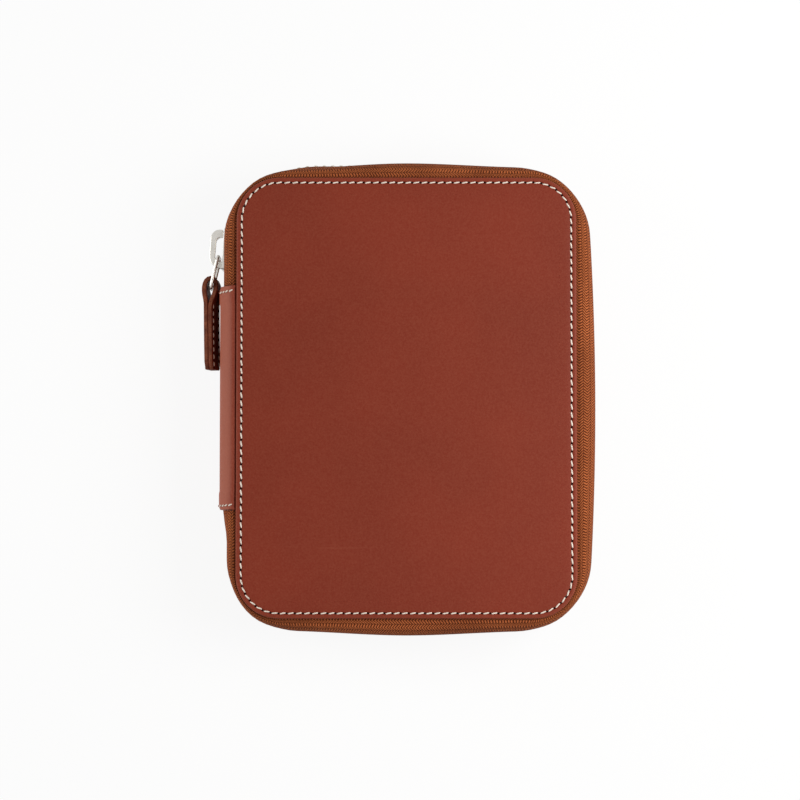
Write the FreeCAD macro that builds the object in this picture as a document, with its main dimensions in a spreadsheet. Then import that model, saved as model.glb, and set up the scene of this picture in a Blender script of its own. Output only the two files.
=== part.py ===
import FreeCAD, Part
import math
import os
import re

import Sketcher
from FreeCAD import Placement, Rotation, Vector

# Zip-round pen case lying on its back cover. Millimetres. The origin is the middle of the back
# cover's outer face, +Z points up through the front cover, +Y runs along the spine towards the
# slider, and the spine is on the -X side.
SIZES = [
    ("cover_width", "136.4", "leather cover, across the spine"),
    ("cover_height", "176.8", "leather cover, along the spine"),
    ("cover_corner", "17", "corner radius of the covers"),
    ("cover_round", "0.5", "burnished outer edge of the cover leather"),
    ("case_depth", "38", "closed case, outer face to outer face"),
    ("leather_wall", "1.6", "cover leather"),
    ("board_wall", "0.8", "stiffener board"),
    ("lining_wall", "1", "cover lining"),
    ("lining_inset", "1.5", "lining edge, in from the cover edge"),
    ("board_corner", "8", "corner radius of the boards"),
    ("board_gap", "0.2", "board edge to the sewn edge of the tape"),
    ("tape_wall", "0.8", "zipper tape"),
    ("tape_inset", "0.4", "sewn edge of the tape, in from the cover edge"),
    ("flange_width", "8", "sewn edge of the tape, under the cover"),
    ("bulge_left", "5.4", "fullest line of the tape at the spine side, past the cover edge"),
    ("bulge_corner", "30", "corner radius of the fullest line, spine side"),
    ("bulge_rise", "10", "fullest line above the middle of the case"),
    ("ledge_inset", "3.4", "flat ledge of the tape beside the cover, in from the fullest line"),
    ("shoulder_inset", "1.3", "shoulder of the tape, in from the fullest line"),
    ("cover_bow", "0.01", "unseen bow of the far side of the tape's sewn edge"),
    ("chain_left", "4.3", "tape edge at the spine side, past the cover edge"),
    ("chain_flank", "5.5", "tape edge where the far side meets its corners, past the cover edge"),
    ("chain_right", "7.8", "tape edge, middle of the far side, past the cover edge"),
    ("chain_top", "6.4", "tape edge, upper and lower sides, past the cover edge"),
    ("chain_corner_left", "36", "corner radius of the tape edge, spine side"),
    ("chain_corner_right", "30", "corner radius of the tape edge, far side"),
    ("chain_rise", "6", "upright part of the tape, above the middle of the case"),
    ("edge_rise", "2.4", "tape edge above the middle of the case"),
    ("tape_end_gap", "0.3", "tape end to the spine strip"),
    ("tooth_pitch", "3.4", "teeth of one row"),
    ("tooth_width", "1.4", "tooth along the tape"),
    ("tooth_depth", "2.2", "tooth through the tape"),
    ("tooth_reach", "1", "tooth head past the middle of the case"),
    ("leg_grip", "1.3", "tooth legs up the tape"),
    ("tape_grip_gap", "0.05", "tooth leg to the tape"),
    ("stop_width", "2.6", "end stop along the tape"),
    ("stop_nose", "0.8", "end stop past the tape edge"),
    ("strip_length", "90", "spine strip along the spine"),
    ("strip_wall", "1.4", "spine strip leather"),
    ("strip_bulge", "7.3", "outer face of the spine strip, past the cover edge"),
    ("strip_set", "0.2", "long edges of the strip, out from the cover edge"),
    ("strip_slope", "6.5", "height of the strip's slanted flanks"),
    ("strip_bend", "4", "outer bend radius of the strip"),
    ("hinge_set", "1.2", "hinge line, in from the cover edge"),
    ("hinge_gap", "0.3", "hinge bead to the pieces round it"),
    ("bead_radius", "0.8", "rolled hem of the spine lining"),
    ("spine_wall", "1.2", "spine lining"),
    ("page_bead", "1", "rolled hem of the divider"),
    ("page_reach", "8.2", "divider's free edge, in from the cover edge"),
    ("page_height", "156", "divider along the spine"),
    ("page_start", "17.2", "divider's edge at the spine side, in from the cover edge"),
    ("tongue_set", "3", "divider's hinge tongue, in from the ends of the spine strip"),
    ("page_corner", "14", "corner radius of the divider"),
    ("page_core", "0.8", "divider core"),
    ("page_face", "0.6", "divider face"),
    ("loop_count", "5", "pen loops in a band"),
    ("loop_width", "17", "pen loop inside"),
    ("page_gap", "0.4", "divider to the pen bands"),
    ("loop_seam", "2.6", "sewn seam between two loops"),
    ("loop_crown", "0.6", "flat top of a loop, half of it"),
    ("band_wall", "1.2", "pen band leather"),
    ("band_length", "70", "pen band along the pens"),
    ("slider_length", "17.2", "slider along the tape"),
    ("slider_head", "11.2", "slider across, at the head"),
    ("slider_tail", "10", "slider across, at the tail"),
    ("slider_plate", "1.2", "slider plate"),
    ("slider_flange", "0.9", "turned-in flange of a plate"),
    ("slider_room", "0.75", "slider inside, to the teeth, each side"),
    ("slot_room", "0.95", "slider slot, to the tape, each side"),
    ("slider_sink", "0.5", "slider's middle, in from the tape's middle"),
    ("slider_start", "3.8", "slider's rest angle, past the start of the corner"),
    ("notch_side", "1", "notch in both tapes, past each end of the slider"),
    ("notch_rise", "2", "notch in both tapes, past the slider plates"),
    ("wedge_length", "6.4", "slider's inner post along the tape"),
    ("wedge_width", "3", "slider's inner post across"),
    ("wedge_tip", "0.8", "blunt ends of the inner post"),
    ("slider_round", "1.2", "corners of the slider plates"),
    ("bridge_length", "16", "slider bridge along the plate"),
    ("bridge_width", "3.4", "slider bridge across"),
    ("bridge_bar", "2.3", "slider bridge bar"),
    ("bridge_rise", "5.6", "slider bridge off the plate"),
    ("bridge_foot", "3", "slider bridge foot along the plate"),
    ("bridge_nose", "3.2", "slider bridge free end along the plate"),
    ("bridge_gap", "0.7", "slider bridge free end to the plate"),
    ("bridge_round", "3.8", "outer corner of the bridge at its free end"),
    ("bridge_heel", "5.2", "outer corner of the bridge at its foot"),
    ("bridge_eye_round", "2.2", "inner corners of the bridge"),
    ("ring_wire", "1.3", "pull ring wire"),
    ("ring_ease", "0.38", "eased edges of the pull ring wire"),
    ("ring_span", "13.1", "pull ring, bar to bar"),
    ("ring_lift", "1.7", "pull ring bar off the slider plate"),
    ("ring_seat", "3.4", "pull ring bar, below the slider's middle"),
    ("ring_lean", "13", "pull ring, outwards from the case side"),
    ("ring_bend", "2", "corner radius of the ring's middle line"),
    ("tab_width", "10", "pull tab across"),
    ("tab_side_gap", "0.5", "pull tab to the ring, each side"),
    ("tab_wall", "4.6", "pull tab, two plies"),
    ("tab_length", "33.4", "pull tab below the ring bar"),
    ("tab_loop", "6.5", "loop of the pull tab, outside"),
    ("tab_loop_rise", "4.9", "loop of the pull tab above the ring bar"),
    ("tab_neck", "4", "start of the loop below the ring bar"),
    ("tab_eye", "1.9", "eye of the loop, radius"),
    ("tab_eye_rise", "0.8", "eye of the loop above the ring bar"),
    ("tab_round", "0.8", "lower corners of the pull tab"),
    ("tab_bend", "1.2", "bends of the pull tab's loop"),
]

doc = FreeCAD.newDocument("pen_case")
sheet = doc.addObject("Spreadsheet::Sheet", "Sizes")
for row, (alias, value, meaning) in enumerate(SIZES, 1):
    sheet.set(f"A{row}", meaning)
    sheet.set(f"B{row}", value)
    sheet.setAlias(f"B{row}", alias)
doc.recompute()

ALIASES = {alias for alias, value, meaning in SIZES}
SUB_PARTS = []


def size(alias):
    """Value of one driving dimension."""
    return float(sheet.get(alias))


def past_side(alias):
    """Distance from the middle of the case to a place past the side edge of the covers."""
    return size("cover_width") / 2 + size(alias)


def past_end(alias):
    """Distance from the middle of the case to a place past the upper edge of the covers."""
    return size("cover_height") / 2 + size(alias)


def bound(text):
    """Expression text with each driving dimension pointed at the sheet."""
    return re.sub(r"[a-z_]+", lambda word: f"Sizes.{word[0]}" if word[0] in ALIASES else word[0], text)


# Derived places, as expressions of the driving dimensions.
MIDDLE = "(case_depth / 2)"
HALF_WIDTH = "(cover_width / 2)"
HALF_HEIGHT = "(cover_height / 2)"
STRIP_FACE = f"({HALF_WIDTH} + strip_bulge)"
PAGE_LEFT = f"(page_start - {HALF_WIDTH})"
PAGE_RIGHT = f"({HALF_WIDTH} - page_reach)"
HINGE_X = f"(hinge_set - {HALF_WIDTH})"
HINGE_LOW = "(leather_wall + hinge_gap + bead_radius)"
HINGE_HIGH = f"(case_depth - {HINGE_LOW})"
PAGE_HINGE_X = f"({HINGE_X} + spine_wall / 2 + hinge_gap + page_bead)"
LAYER = "max(tape_wall; board_wall)"
INSIDE_LOW = f"(leather_wall + {LAYER} + lining_wall)"
LOOP_HEIGHT = f"({MIDDLE} - {INSIDE_LOW} - band_wall - page_gap - page_face - page_core / 2)"


def new_body(label):
    """Empty body of one sub-part."""
    body = doc.addObject("PartDesign::Body", label)
    body.Label = label
    SUB_PARTS.append(body)
    return body


def new_sketch(body, plane, lift="0"):
    """Sketch on one of the body's own origin planes, lifted off it by an expression."""
    sketch = body.newObject("Sketcher::SketchObject", f"{body.Name}_sketch")
    support = [feature for feature in body.Origin.OriginFeatures if feature.Role == plane]
    sketch.AttachmentSupport = [(support[0], "")]
    sketch.MapMode = "FlatFace"
    sketch.setExpression("AttachmentOffset.Base.z", bound(lift))
    return sketch


def place_point(sketch, geometry, point, corner):
    """Holds one point of a sketch at a pair of expressions."""
    for kind, text in zip(("DistanceX", "DistanceY"), corner):
        index = sketch.addConstraint(Sketcher.Constraint(kind, -1, 1, geometry, point, 1.0))
        sketch.setExpression(f"Constraints[{index}]", bound(text))


def add_polygon(sketch, corners):
    """Closed outline through corners given as pairs of expressions."""
    first = sketch.GeometryCount
    count = len(corners)
    turn = 2 * math.pi / count
    spots = [Vector(math.cos(turn * i), math.sin(turn * i)) for i in range(count)]
    for i in range(count):
        sketch.addGeometry(Part.LineSegment(spots[i], spots[(i + 1) % count]))
    for i in range(count):
        sketch.addConstraint(Sketcher.Constraint("Coincident", first + i, 2, first + (i + 1) % count, 1))
        place_point(sketch, first + i, 1, corners[i])


def add_circle(sketch, centre, radius):
    """Circle at a pair of expressions."""
    circle = sketch.addGeometry(Part.Circle(Vector(), Vector(0, 0, 1), 1.0))
    place_point(sketch, circle, 3, centre)
    index = sketch.addConstraint(Sketcher.Constraint("Radius", circle, 1.0))
    sketch.setExpression(f"Constraints[{index}]", bound(radius))


def box_corners(left, right, low, high):
    """Four corners of a rectangle from the expressions of its sides."""
    return [(left, low), (right, low), (right, high), (left, high)]


def add_feature(body, kind, sketch, length, side="Symmetric"):
    """Pad or pocket of a sketch."""
    feature = body.newObject(f"PartDesign::{kind}", f"{body.Name}_{kind.lower()}")
    feature.Profile = sketch
    feature.SideType = side
    feature.setExpression("Length", bound(length))
    doc.recompute()
    return feature


def ease_edges(body, kind, measure, length, chosen):
    """Fillet or chamfer of the edges of the body's tip that a test chooses."""
    base = body.Tip
    names = [f"Edge{i}" for i, edge in enumerate(base.Shape.Edges, 1) if chosen(edge)]
    feature = body.newObject(f"PartDesign::{kind}", f"{body.Name}_{kind.lower()}")
    feature.Base = (base, names)
    feature.setExpression(measure, bound(length))
    doc.recompute()


def add_fillet(body, radius, chosen):
    """Rounds the chosen edges."""
    ease_edges(body, "Fillet", "Radius", radius, chosen)


def add_chamfer(body, leg, chosen):
    """Bevels the chosen edges."""
    ease_edges(body, "Chamfer", "Size", leg, chosen)


def runs_along(edge, axis):
    """True for a straight edge along an axis."""
    if edge.Curve.TypeId != "Part::GeomLine":
        return False
    return abs(edge.tangentAt(edge.FirstParameter).dot(axis)) > 0.999


X_AXIS = Vector(1, 0, 0)
Y_AXIS = Vector(0, 1, 0)
Z_AXIS = Vector(0, 0, 1)


def cover_leather(label, lift, face):
    """Cut leather panel of one cover, its outer edge eased by burnishing."""
    body = new_body(label)
    sketch = new_sketch(body, "XY_Plane", lift)
    add_polygon(sketch, box_corners(f"-{HALF_WIDTH}", HALF_WIDTH, f"-{HALF_HEIGHT}", HALF_HEIGHT))
    add_feature(body, "Pad", sketch, "leather_wall", "One side")
    add_fillet(body, "cover_corner", lambda edge: runs_along(edge, Z_AXIS))
    near = size("leather_wall") / 4
    add_chamfer(body, "cover_round", lambda edge: abs(edge.CenterOfMass.z - face) < near)


def cover_board(label, lift):
    """Stiffener board that fills the cover inside the sewn edge of the tape."""
    body = new_body(label)
    sketch = new_sketch(body, "XY_Plane", lift)
    inset = "(tape_inset + flange_width + board_gap)"
    right = f"({HALF_WIDTH} - {inset})"
    high = f"({HALF_HEIGHT} - {inset})"
    add_polygon(sketch, box_corners(f"-{right}", right, f"-{high}", high))
    add_feature(body, "Pad", sketch, "board_wall", "One side")
    add_fillet(body, "board_corner", lambda edge: runs_along(edge, Z_AXIS))


def cover_lining(label, lift):
    """Lining of one cover, cut back along the spine for the hinge bead."""
    body = new_body(label)
    sketch = new_sketch(body, "XY_Plane", lift)
    right = f"({HALF_WIDTH} - lining_inset)"
    high = f"({HALF_HEIGHT} - lining_inset)"
    notch = f"({HINGE_X} + bead_radius + hinge_gap)"
    notch_end = "(strip_length / 2 + hinge_gap)"
    corners = box_corners(f"-{right}", right, f"-{high}", high)
    corners += [(f"-{right}", notch_end), (notch, notch_end)]
    corners += [(notch, f"-{notch_end}"), (f"-{right}", f"-{notch_end}")]
    add_polygon(sketch, corners)
    add_feature(body, "Pad", sketch, "lining_wall", "One side")
    outer = size("cover_height") / 2 - size("lining_inset") - size("hinge_gap")
    add_fillet(
        body, "cover_corner - lining_inset",
        lambda edge: runs_along(edge, Z_AXIS) and abs(edge.CenterOfMass.y) > outer,
    )


def pen_band(label, base, up):
    """Leather band on a lining: a row of arched pen loops with a sewn seam between two loops."""
    body = new_body(label)
    sketch = new_sketch(body, "XZ_Plane")
    pitch = "(loop_width + 2 * band_wall + loop_seam)"
    first = f"(-(loop_count - 1) * {pitch} / 2)"
    half = "(loop_width / 2)"
    outside = "(loop_width / 2 + band_wall)"
    profile = [
        (f"-{pitch} / 2", "0"), (f"-{half}", "0"), (f"-{half}", LOOP_HEIGHT), (half, LOOP_HEIGHT),
        (half, "0"), (f"{pitch} / 2", "0"), (f"{pitch} / 2", "band_wall"), (outside, "band_wall"),
        (outside, f"({LOOP_HEIGHT} + band_wall)"), (f"-{outside}", f"({LOOP_HEIGHT} + band_wall)"),
        (f"-{outside}", "band_wall"), (f"-{pitch} / 2", "band_wall"),
    ]
    add_polygon(sketch, [(f"{first} + {x}", f"{base} {up} {z}") for x, z in profile])
    pad = add_feature(body, "Pad", sketch, "band_length")
    row = body.newObject("PartDesign::LinearPattern", f"{label}_row")
    row.Originals = [pad]
    row.Direction = (sketch, ["H_Axis"])
    row.setExpression("Length", bound(f"(loop_count - 1) * {pitch}"))
    row.setExpression("Occurrences", bound("loop_count"))
    body.Tip = row
    doc.recompute()
    sign = 1 if up == "+" else -1
    page_half = size("page_core") / 2 + size("page_face")
    roof = size("case_depth") / 2 - sign * (page_half + size("page_gap"))
    crown = roof - sign * size("band_wall")
    near = size("band_wall") / 4
    add_fillet(
        body, f"{half} - loop_crown",
        lambda edge: runs_along(edge, Y_AXIS) and abs(edge.CenterOfMass.z - crown) < near,
    )
    add_fillet(
        body, f"{half} + band_wall - loop_crown",
        lambda edge: runs_along(edge, Y_AXIS) and abs(edge.CenterOfMass.z - roof) < near,
    )


def spine_strip():
    """Leather strip over the spine: two slanted flanks and an upright outer face."""
    body = new_body("spine_strip")
    sketch = new_sketch(body, "XZ_Plane")
    edge = f"(-{HALF_WIDTH} - strip_set)"
    low = "(leather_wall + hinge_gap)"
    high = f"(case_depth - {low})"
    inner = f"(strip_wall - {STRIP_FACE})"
    corners = [
        (edge, low), (f"{edge} - strip_wall / 2", low), (f"-{STRIP_FACE}", f"{low} + strip_slope"),
        (f"-{STRIP_FACE}", f"{high} - strip_slope"), (f"{edge} - strip_wall / 2", high), (edge, high),
        (inner, f"{high} - strip_slope - strip_wall / 2"), (inner, f"{low} + strip_slope + strip_wall / 2"),
    ]
    add_polygon(sketch, corners)
    add_feature(body, "Pad", sketch, "strip_length")
    near = size("strip_wall") / 4
    outside = -past_side("strip_bulge")
    inside = outside + size("strip_wall")
    for side, radius in ((outside, "strip_bend"), (inside, "max(strip_bend - strip_wall; strip_wall)")):
        add_fillet(
            body, radius,
            lambda edge, side=side: runs_along(edge, Y_AXIS) and abs(edge.CenterOfMass.x - side) < near,
        )


def spine_lining():
    """Inner wall of the spine. Its long edges are rolled hems, and each cover hinges on one."""
    body = new_body("spine_lining")
    panel = new_sketch(body, "XZ_Plane")
    left = f"({HINGE_X} - spine_wall / 2)"
    right = f"({HINGE_X} + spine_wall / 2)"
    add_polygon(panel, box_corners(left, right, HINGE_LOW, HINGE_HIGH))
    add_feature(body, "Pad", panel, "strip_length")
    for height in (HINGE_LOW, HINGE_HIGH):
        hem = new_sketch(body, "XZ_Plane")
        add_circle(hem, (HINGE_X, height), "bead_radius")
        add_feature(body, "Pad", hem, "strip_length")


def divider():
    """Page between the two rows of pens: a core with a rolled hem at the spine, and two faces."""
    page_half = "(page_height / 2)"

    def page(label, lift, wall):
        body = new_body(label)
        sketch = new_sketch(body, "XY_Plane", lift)
        add_polygon(sketch, box_corners(PAGE_LEFT, PAGE_RIGHT, f"-{page_half}", page_half))
        add_feature(body, "Pad", sketch, wall, "One side")
        add_fillet(body, "page_corner", lambda edge: runs_along(edge, Z_AXIS))
        return body

    core = page("divider_core", f"{MIDDLE} - page_core / 2", "page_core")
    tongue = new_sketch(core, "XY_Plane", f"{MIDDLE} - page_core / 2")
    length = "(strip_length - 2 * tongue_set)"
    add_polygon(
        tongue, box_corners(PAGE_HINGE_X, f"page_corner + {PAGE_LEFT}", f"-{length} / 2", f"{length} / 2"),
    )
    add_feature(core, "Pad", tongue, "page_core", "One side")
    hem = new_sketch(core, "XZ_Plane")
    add_circle(hem, (PAGE_HINGE_X, MIDDLE), "page_bead")
    add_feature(core, "Pad", hem, length)
    page("divider_front_face", f"{MIDDLE} + page_core / 2", "page_face")
    page("divider_back_face", f"{MIDDLE} - page_core / 2 - page_face", "page_face")


def rim_line(left, flank, right, high, left_corner, right_corner):
    """A line round the case: spine side, far side at its corners and middle, upper side, corners."""
    return {
        "left": left, "flank": flank, "right": right, "high": high,
        "left_corner": left_corner, "right_corner": right_corner,
    }


def rim_edges(line, inset, height):
    """Edges of a line round the case, set in and at a height, clockwise from mid-spine."""
    left_r = line["left_corner"] - inset
    right_r = line["right_corner"] - inset
    left_c = Vector(line["left_corner"] - line["left"], line["high"] - line["left_corner"], height)
    right_c = Vector(line["flank"] - line["right_corner"], line["high"] - line["right_corner"], height)
    far = Vector(line["right"] - inset, 0, height)
    reach = far.x - right_c.x
    bow = (reach ** 2 + right_c.y ** 2 - right_r ** 2) / (2 * (reach - right_r))
    far_angle = math.atan2(right_c.y, bow - reach)
    run = right_c - left_c
    top_angle = math.asin((left_r - right_r) / run.Length) + math.atan2(run.y, run.x) + math.pi / 2

    def on_arc(centre, radius, angle):
        return centre + Vector(math.cos(angle), math.sin(angle)) * radius

    def mirrored(point):
        return Vector(point.x, -point.y, point.z)

    start = Vector(inset - line["left"], 0, height)
    left_angles = (math.pi, (math.pi + top_angle) / 2, top_angle)
    right_angles = (top_angle, (top_angle + far_angle) / 2, far_angle)
    left_arc = [on_arc(left_c, left_r, angle) for angle in left_angles]
    right_arc = [on_arc(right_c, right_r, angle) for angle in right_angles]
    curves = [
        Part.LineSegment(start, left_arc[0]), Part.Arc(*left_arc),
        Part.LineSegment(left_arc[2], right_arc[0]),
        Part.Arc(*right_arc), Part.Arc(right_arc[2], far, mirrored(right_arc[2])),
    ]
    right_arc = [mirrored(point) for point in reversed(right_arc)]
    left_arc = [mirrored(point) for point in reversed(left_arc)]
    curves += [
        Part.Arc(*right_arc), Part.LineSegment(right_arc[2], left_arc[0]),
        Part.Arc(*left_arc), Part.LineSegment(left_arc[2], start),
    ]
    return [curve.toShape() for curve in curves]


def cover_line():
    """Edge of the covers, with a bow in its far side as the other lines have."""
    half = size("cover_width") / 2
    corner = size("cover_corner")
    return rim_line(half, half, half + size("cover_bow"), size("cover_height") / 2, corner, corner)


def chain_line():
    """Line of the tape's toothed edge."""
    return rim_line(
        past_side("chain_left"), past_side("chain_flank"), past_side("chain_right"), past_end("chain_top"),
        size("chain_corner_left"), size("chain_corner_right"),
    )


def bulge_line():
    """Fullest line of the tape, which leaves the line of the toothed edge at the spine side only."""
    return {**chain_line(), "left": past_side("bulge_left"), "left_corner": size("bulge_corner")}


def loft(levels):
    """Solid through lines round the case, each with its inset and height."""
    return Part.makeLoft([Part.Wire(rim_edges(*level)) for level in levels], True, True)


def add_shape(label, shape):
    """Sub-part with a shape worked out here."""
    feature = doc.addObject("Part::Feature", label)
    feature.Label = label
    feature.Shape = shape
    feature.Placement = Placement()
    SUB_PARTS.append(feature)
    return feature


def slider_place():
    """Middle of the slider on the spine-side corner of the chain, and its lean there."""
    corner = size("chain_corner_left")
    centre = Vector(corner - past_side("chain_left"), past_end("chain_top") - corner, size("case_depth") / 2)
    radius = corner - size("tape_wall") / 2 - size("slider_sink")
    lean = math.radians(size("slider_start"))
    spot = centre + Vector(-math.cos(lean), math.sin(lean), 0) * radius
    return Placement(spot, Rotation(Z_AXIS, -size("slider_start")))


def slider_depth():
    """Slider from outer face to inner face."""
    return size("tooth_depth") + 2 * size("slider_room") + 2 * size("slider_plate")


def tape(label, up):
    """Half of the zipper tape: a sewn edge under the cover, a full shoulder, an upright toothed edge.

    The sewn edge shows as a ledge beside the cover. The tape ends at the spine strip, and has a
    notch for the slider where the slider rests.
    """
    middle = size("case_depth") / 2
    wall = size("tape_wall")
    under = middle - size("leather_wall")
    bulge = size("bulge_rise")
    upright = size("chain_rise")
    shoulder = (under + bulge) / 2
    ledge_in = size("ledge_inset")
    shoulder_in = size("shoulder_inset")

    def at(rise):
        return middle + up * rise

    outer = loft([
        (bulge_line(), ledge_in, at(under)), (bulge_line(), shoulder_in, at(shoulder)),
        (bulge_line(), 0, at(bulge)), (chain_line(), 0, at(upright)),
        (chain_line(), 0, at(size("edge_rise"))),
    ])
    inner = loft([
        (bulge_line(), ledge_in + wall, at(under - wall)),
        (bulge_line(), shoulder_in + wall, at(shoulder - wall)),
        (bulge_line(), wall, at(bulge)), (chain_line(), wall, at(upright)), (chain_line(), wall, middle),
    ])
    sewn = size("tape_inset") + size("flange_width")
    window = Part.Face(Part.Wire(rim_edges(cover_line(), sewn, middle)))
    window = window.extrude(Z_AXIS * up * size("case_depth"))
    gap = size("strip_length") / 2 + size("tape_end_gap")
    reach = past_side("strip_bulge")
    edge = sewn - size("cover_width") / 2
    spine = Part.makeBox(reach, 2 * gap, size("case_depth"), Vector(edge - reach, -gap, 0))
    half = size("slider_length") / 2 + size("notch_side")
    rise = size("slider_head") / 2 + size("notch_rise")
    notch = Part.makeBox(reach, 2 * half, rise, Vector(-reach / 2, -half, min(0, up) * rise))
    notch.Placement = slider_place()
    return add_shape(label, outer.cut(inner).cut(window).cut(spine).cut(notch))


def chain_path():
    """Middle line of the tape's toothed edge, as edges with their lengths."""
    edges = rim_edges(chain_line(), size("tape_wall") / 2, size("case_depth") / 2)
    return [(edge, edge.Length) for edge in edges]


def clip(path, along, width, low, high, up):
    """Metal clip on the tape edge: two legs that grip the tape, joined by a head."""
    for edge, length in path:
        if along <= length:
            break
        along -= length
    spot = edge.getParameterByLength(along)
    ahead = edge.tangentAt(spot)
    out = Z_AXIS.cross(ahead)
    half = size("tooth_depth") / 2
    slot = size("tape_wall") / 2 + size("tape_grip_gap")
    floor = size("edge_rise") - size("tape_grip_gap")
    profile = [
        (-half, low), (half, low), (half, high), (slot, high),
        (slot, floor), (-slot, floor), (-slot, high), (-half, high),
    ]
    base = edge.valueAt(spot) - ahead * (width / 2)
    points = [base + out * across + Z_AXIS * up * rise for across, rise in profile]
    return Part.Face(Part.makePolygon(points + points[:1])).extrude(ahead * width)


def chain(side, up):
    """Row of teeth on one tape edge, and the stop at each end of the row."""
    path = chain_path()
    total = sum(length for edge, length in path)
    grip = size("edge_rise") + size("leg_grip")
    lean = math.radians(size("slider_start"))
    corner = size("chain_corner_left")
    slider = past_end("chain_top") - corner + lean * (corner - size("tape_wall") / 2)
    pitch = size("tooth_pitch")
    stop = size("stop_width")
    first_stop = slider - size("slider_length") / 2 - size("notch_side") - stop
    last_stop = total - size("strip_length") / 2 - size("tape_end_gap") - stop
    start = slider + pitch / 2 + (0 if up > 0 else pitch / 2)
    count = int((last_stop - stop - start) / pitch)
    width = size("tooth_width")
    reach = size("tooth_reach")
    teeth = [clip(path, start + i * pitch, width, -reach, grip, up) for i in range(count + 1)]
    nose = size("edge_rise") - size("stop_nose")
    stops = [clip(path, along, stop, nose, grip, up) for along in (first_stop, last_stop)]
    add_shape(f"{side}_teeth", Part.makeCompound(teeth))
    add_shape(f"{side}_end_stops", Part.makeCompound(stops))


def slider():
    """Slider: two flanged plates on an inner post, and the hooked bridge on the outer plate."""
    depth = "(tooth_depth + 2 * slider_room + 2 * slider_plate)"
    half = "(slider_length / 2)"
    body = new_body("slider_body")
    plates = new_sketch(body, "YZ_Plane")
    add_polygon(plates, [
        (f"-{half}", "-slider_head / 2"), ("0", "-slider_head / 2"), (half, "-slider_tail / 2"),
        (half, "slider_tail / 2"), ("0", "slider_head / 2"), (f"-{half}", "slider_head / 2"),
    ])
    add_feature(body, "Pad", plates, depth)
    quarter = size("slider_length") / 4
    add_fillet(
        body, "slider_round",
        lambda edge: runs_along(edge, X_AXIS) and abs(edge.CenterOfMass.y) > quarter,
    )
    post_x = f"(wedge_length / 2 + wedge_tip - {half})"
    post = [
        (f"{post_x} - wedge_length / 2", "-wedge_tip / 2"), (post_x, "-wedge_width / 2"),
        (f"{post_x} + wedge_length / 2", "-wedge_tip / 2"),
        (f"{post_x} + wedge_length / 2", "wedge_tip / 2"),
        (post_x, "wedge_width / 2"), (f"{post_x} - wedge_length / 2", "wedge_tip / 2"),
    ]
    slot = new_sketch(body, "YZ_Plane")
    add_polygon(slot, box_corners("-slider_length", "slider_length", "-slider_head", "slider_head"))
    add_polygon(slot, post)
    add_feature(body, "Pocket", slot, "tape_wall + 2 * slot_room")
    room = new_sketch(body, "YZ_Plane")
    wide = "(slider_head / 2 - slider_flange)"
    narrow = "(slider_tail - slider_head / 2 - slider_flange)"
    add_polygon(room, [
        ("-slider_length", f"-{wide}"), ("0", f"-{wide}"), ("slider_length", f"-{narrow}"),
        ("slider_length", narrow), ("0", wide), ("-slider_length", wide),
    ])
    add_polygon(room, post)
    add_feature(body, "Pocket", room, "tooth_depth + 2 * slider_room")
    body.Placement = slider_place()

    bridge = new_body("slider_bridge")
    hook = new_sketch(bridge, "XY_Plane")
    plate = f"(-{depth} / 2)"
    end = "(bridge_length / 2)"
    add_polygon(hook, [
        (plate, f"-{end}"), (f"{plate} - bridge_rise", f"-{end}"), (f"{plate} - bridge_rise", end),
        (f"{plate} - bridge_gap", end), (f"{plate} - bridge_gap", f"{end} - bridge_nose"),
        (f"{plate} - bridge_rise + bridge_bar", f"{end} - bridge_nose"),
        (f"{plate} - bridge_rise + bridge_bar", f"bridge_foot - {end}"), (plate, f"bridge_foot - {end}"),
    ])
    add_feature(bridge, "Pad", hook, "bridge_width")
    outside = -slider_depth() / 2 - size("bridge_rise")
    inside = outside + size("bridge_bar")
    near = size("bridge_bar") / 4
    corners = [
        (outside, 1, "bridge_round"), (outside, -1, "bridge_heel"),
        (inside, 1, "bridge_eye_round"), (inside, -1, "bridge_eye_round"),
    ]
    for side, way, radius in corners:
        add_fillet(
            bridge, radius,
            lambda edge, side=side, way=way: runs_along(edge, Z_AXIS)
            and abs(edge.CenterOfMass.x - side) < near and edge.CenterOfMass.y * way > 0,
        )
    bridge.Placement = slider_place()


def ring_place():
    """Upper bar of the pull ring, in the eye of the bridge, and the ring's direction."""
    spot = slider_place().multVec(Vector(-slider_depth() / 2 - size("ring_lift"), -size("ring_seat"), 0))
    return Placement(spot, Rotation(Z_AXIS, -90 - size("ring_lean")))


def pull_ring():
    """Closed link of eased wire with two straight bars, one in the bridge and one in the tab's loop."""
    body = new_body("pull_ring")
    link = new_sketch(body, "XZ_Plane")
    inner = "(tab_width / 2 + tab_side_gap)"
    outer = f"({inner} + ring_wire)"
    wire = "(ring_wire / 2)"
    add_polygon(link, box_corners(f"-{wire}", f"ring_span + {wire}", f"-{outer}", outer))
    add_polygon(link, box_corners(wire, f"ring_span - {wire}", f"-{inner}", inner))
    add_feature(body, "Pad", link, "ring_wire")
    middle = size("tab_width") / 2 + size("tab_side_gap") + size("ring_wire") / 2
    for way, radius in ((-1, f"ring_bend - {wire}"), (1, f"ring_bend + {wire}")):
        add_fillet(
            body, radius,
            lambda edge, way=way: runs_along(edge, Y_AXIS) and (abs(edge.CenterOfMass.z) - middle) * way > 0,
        )
    near = size("ring_wire") / 4
    face = size("ring_wire") / 2
    add_chamfer(body, "ring_ease", lambda edge: abs(abs(edge.CenterOfMass.y) - face) < near)
    body.Placement = ring_place()


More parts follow.
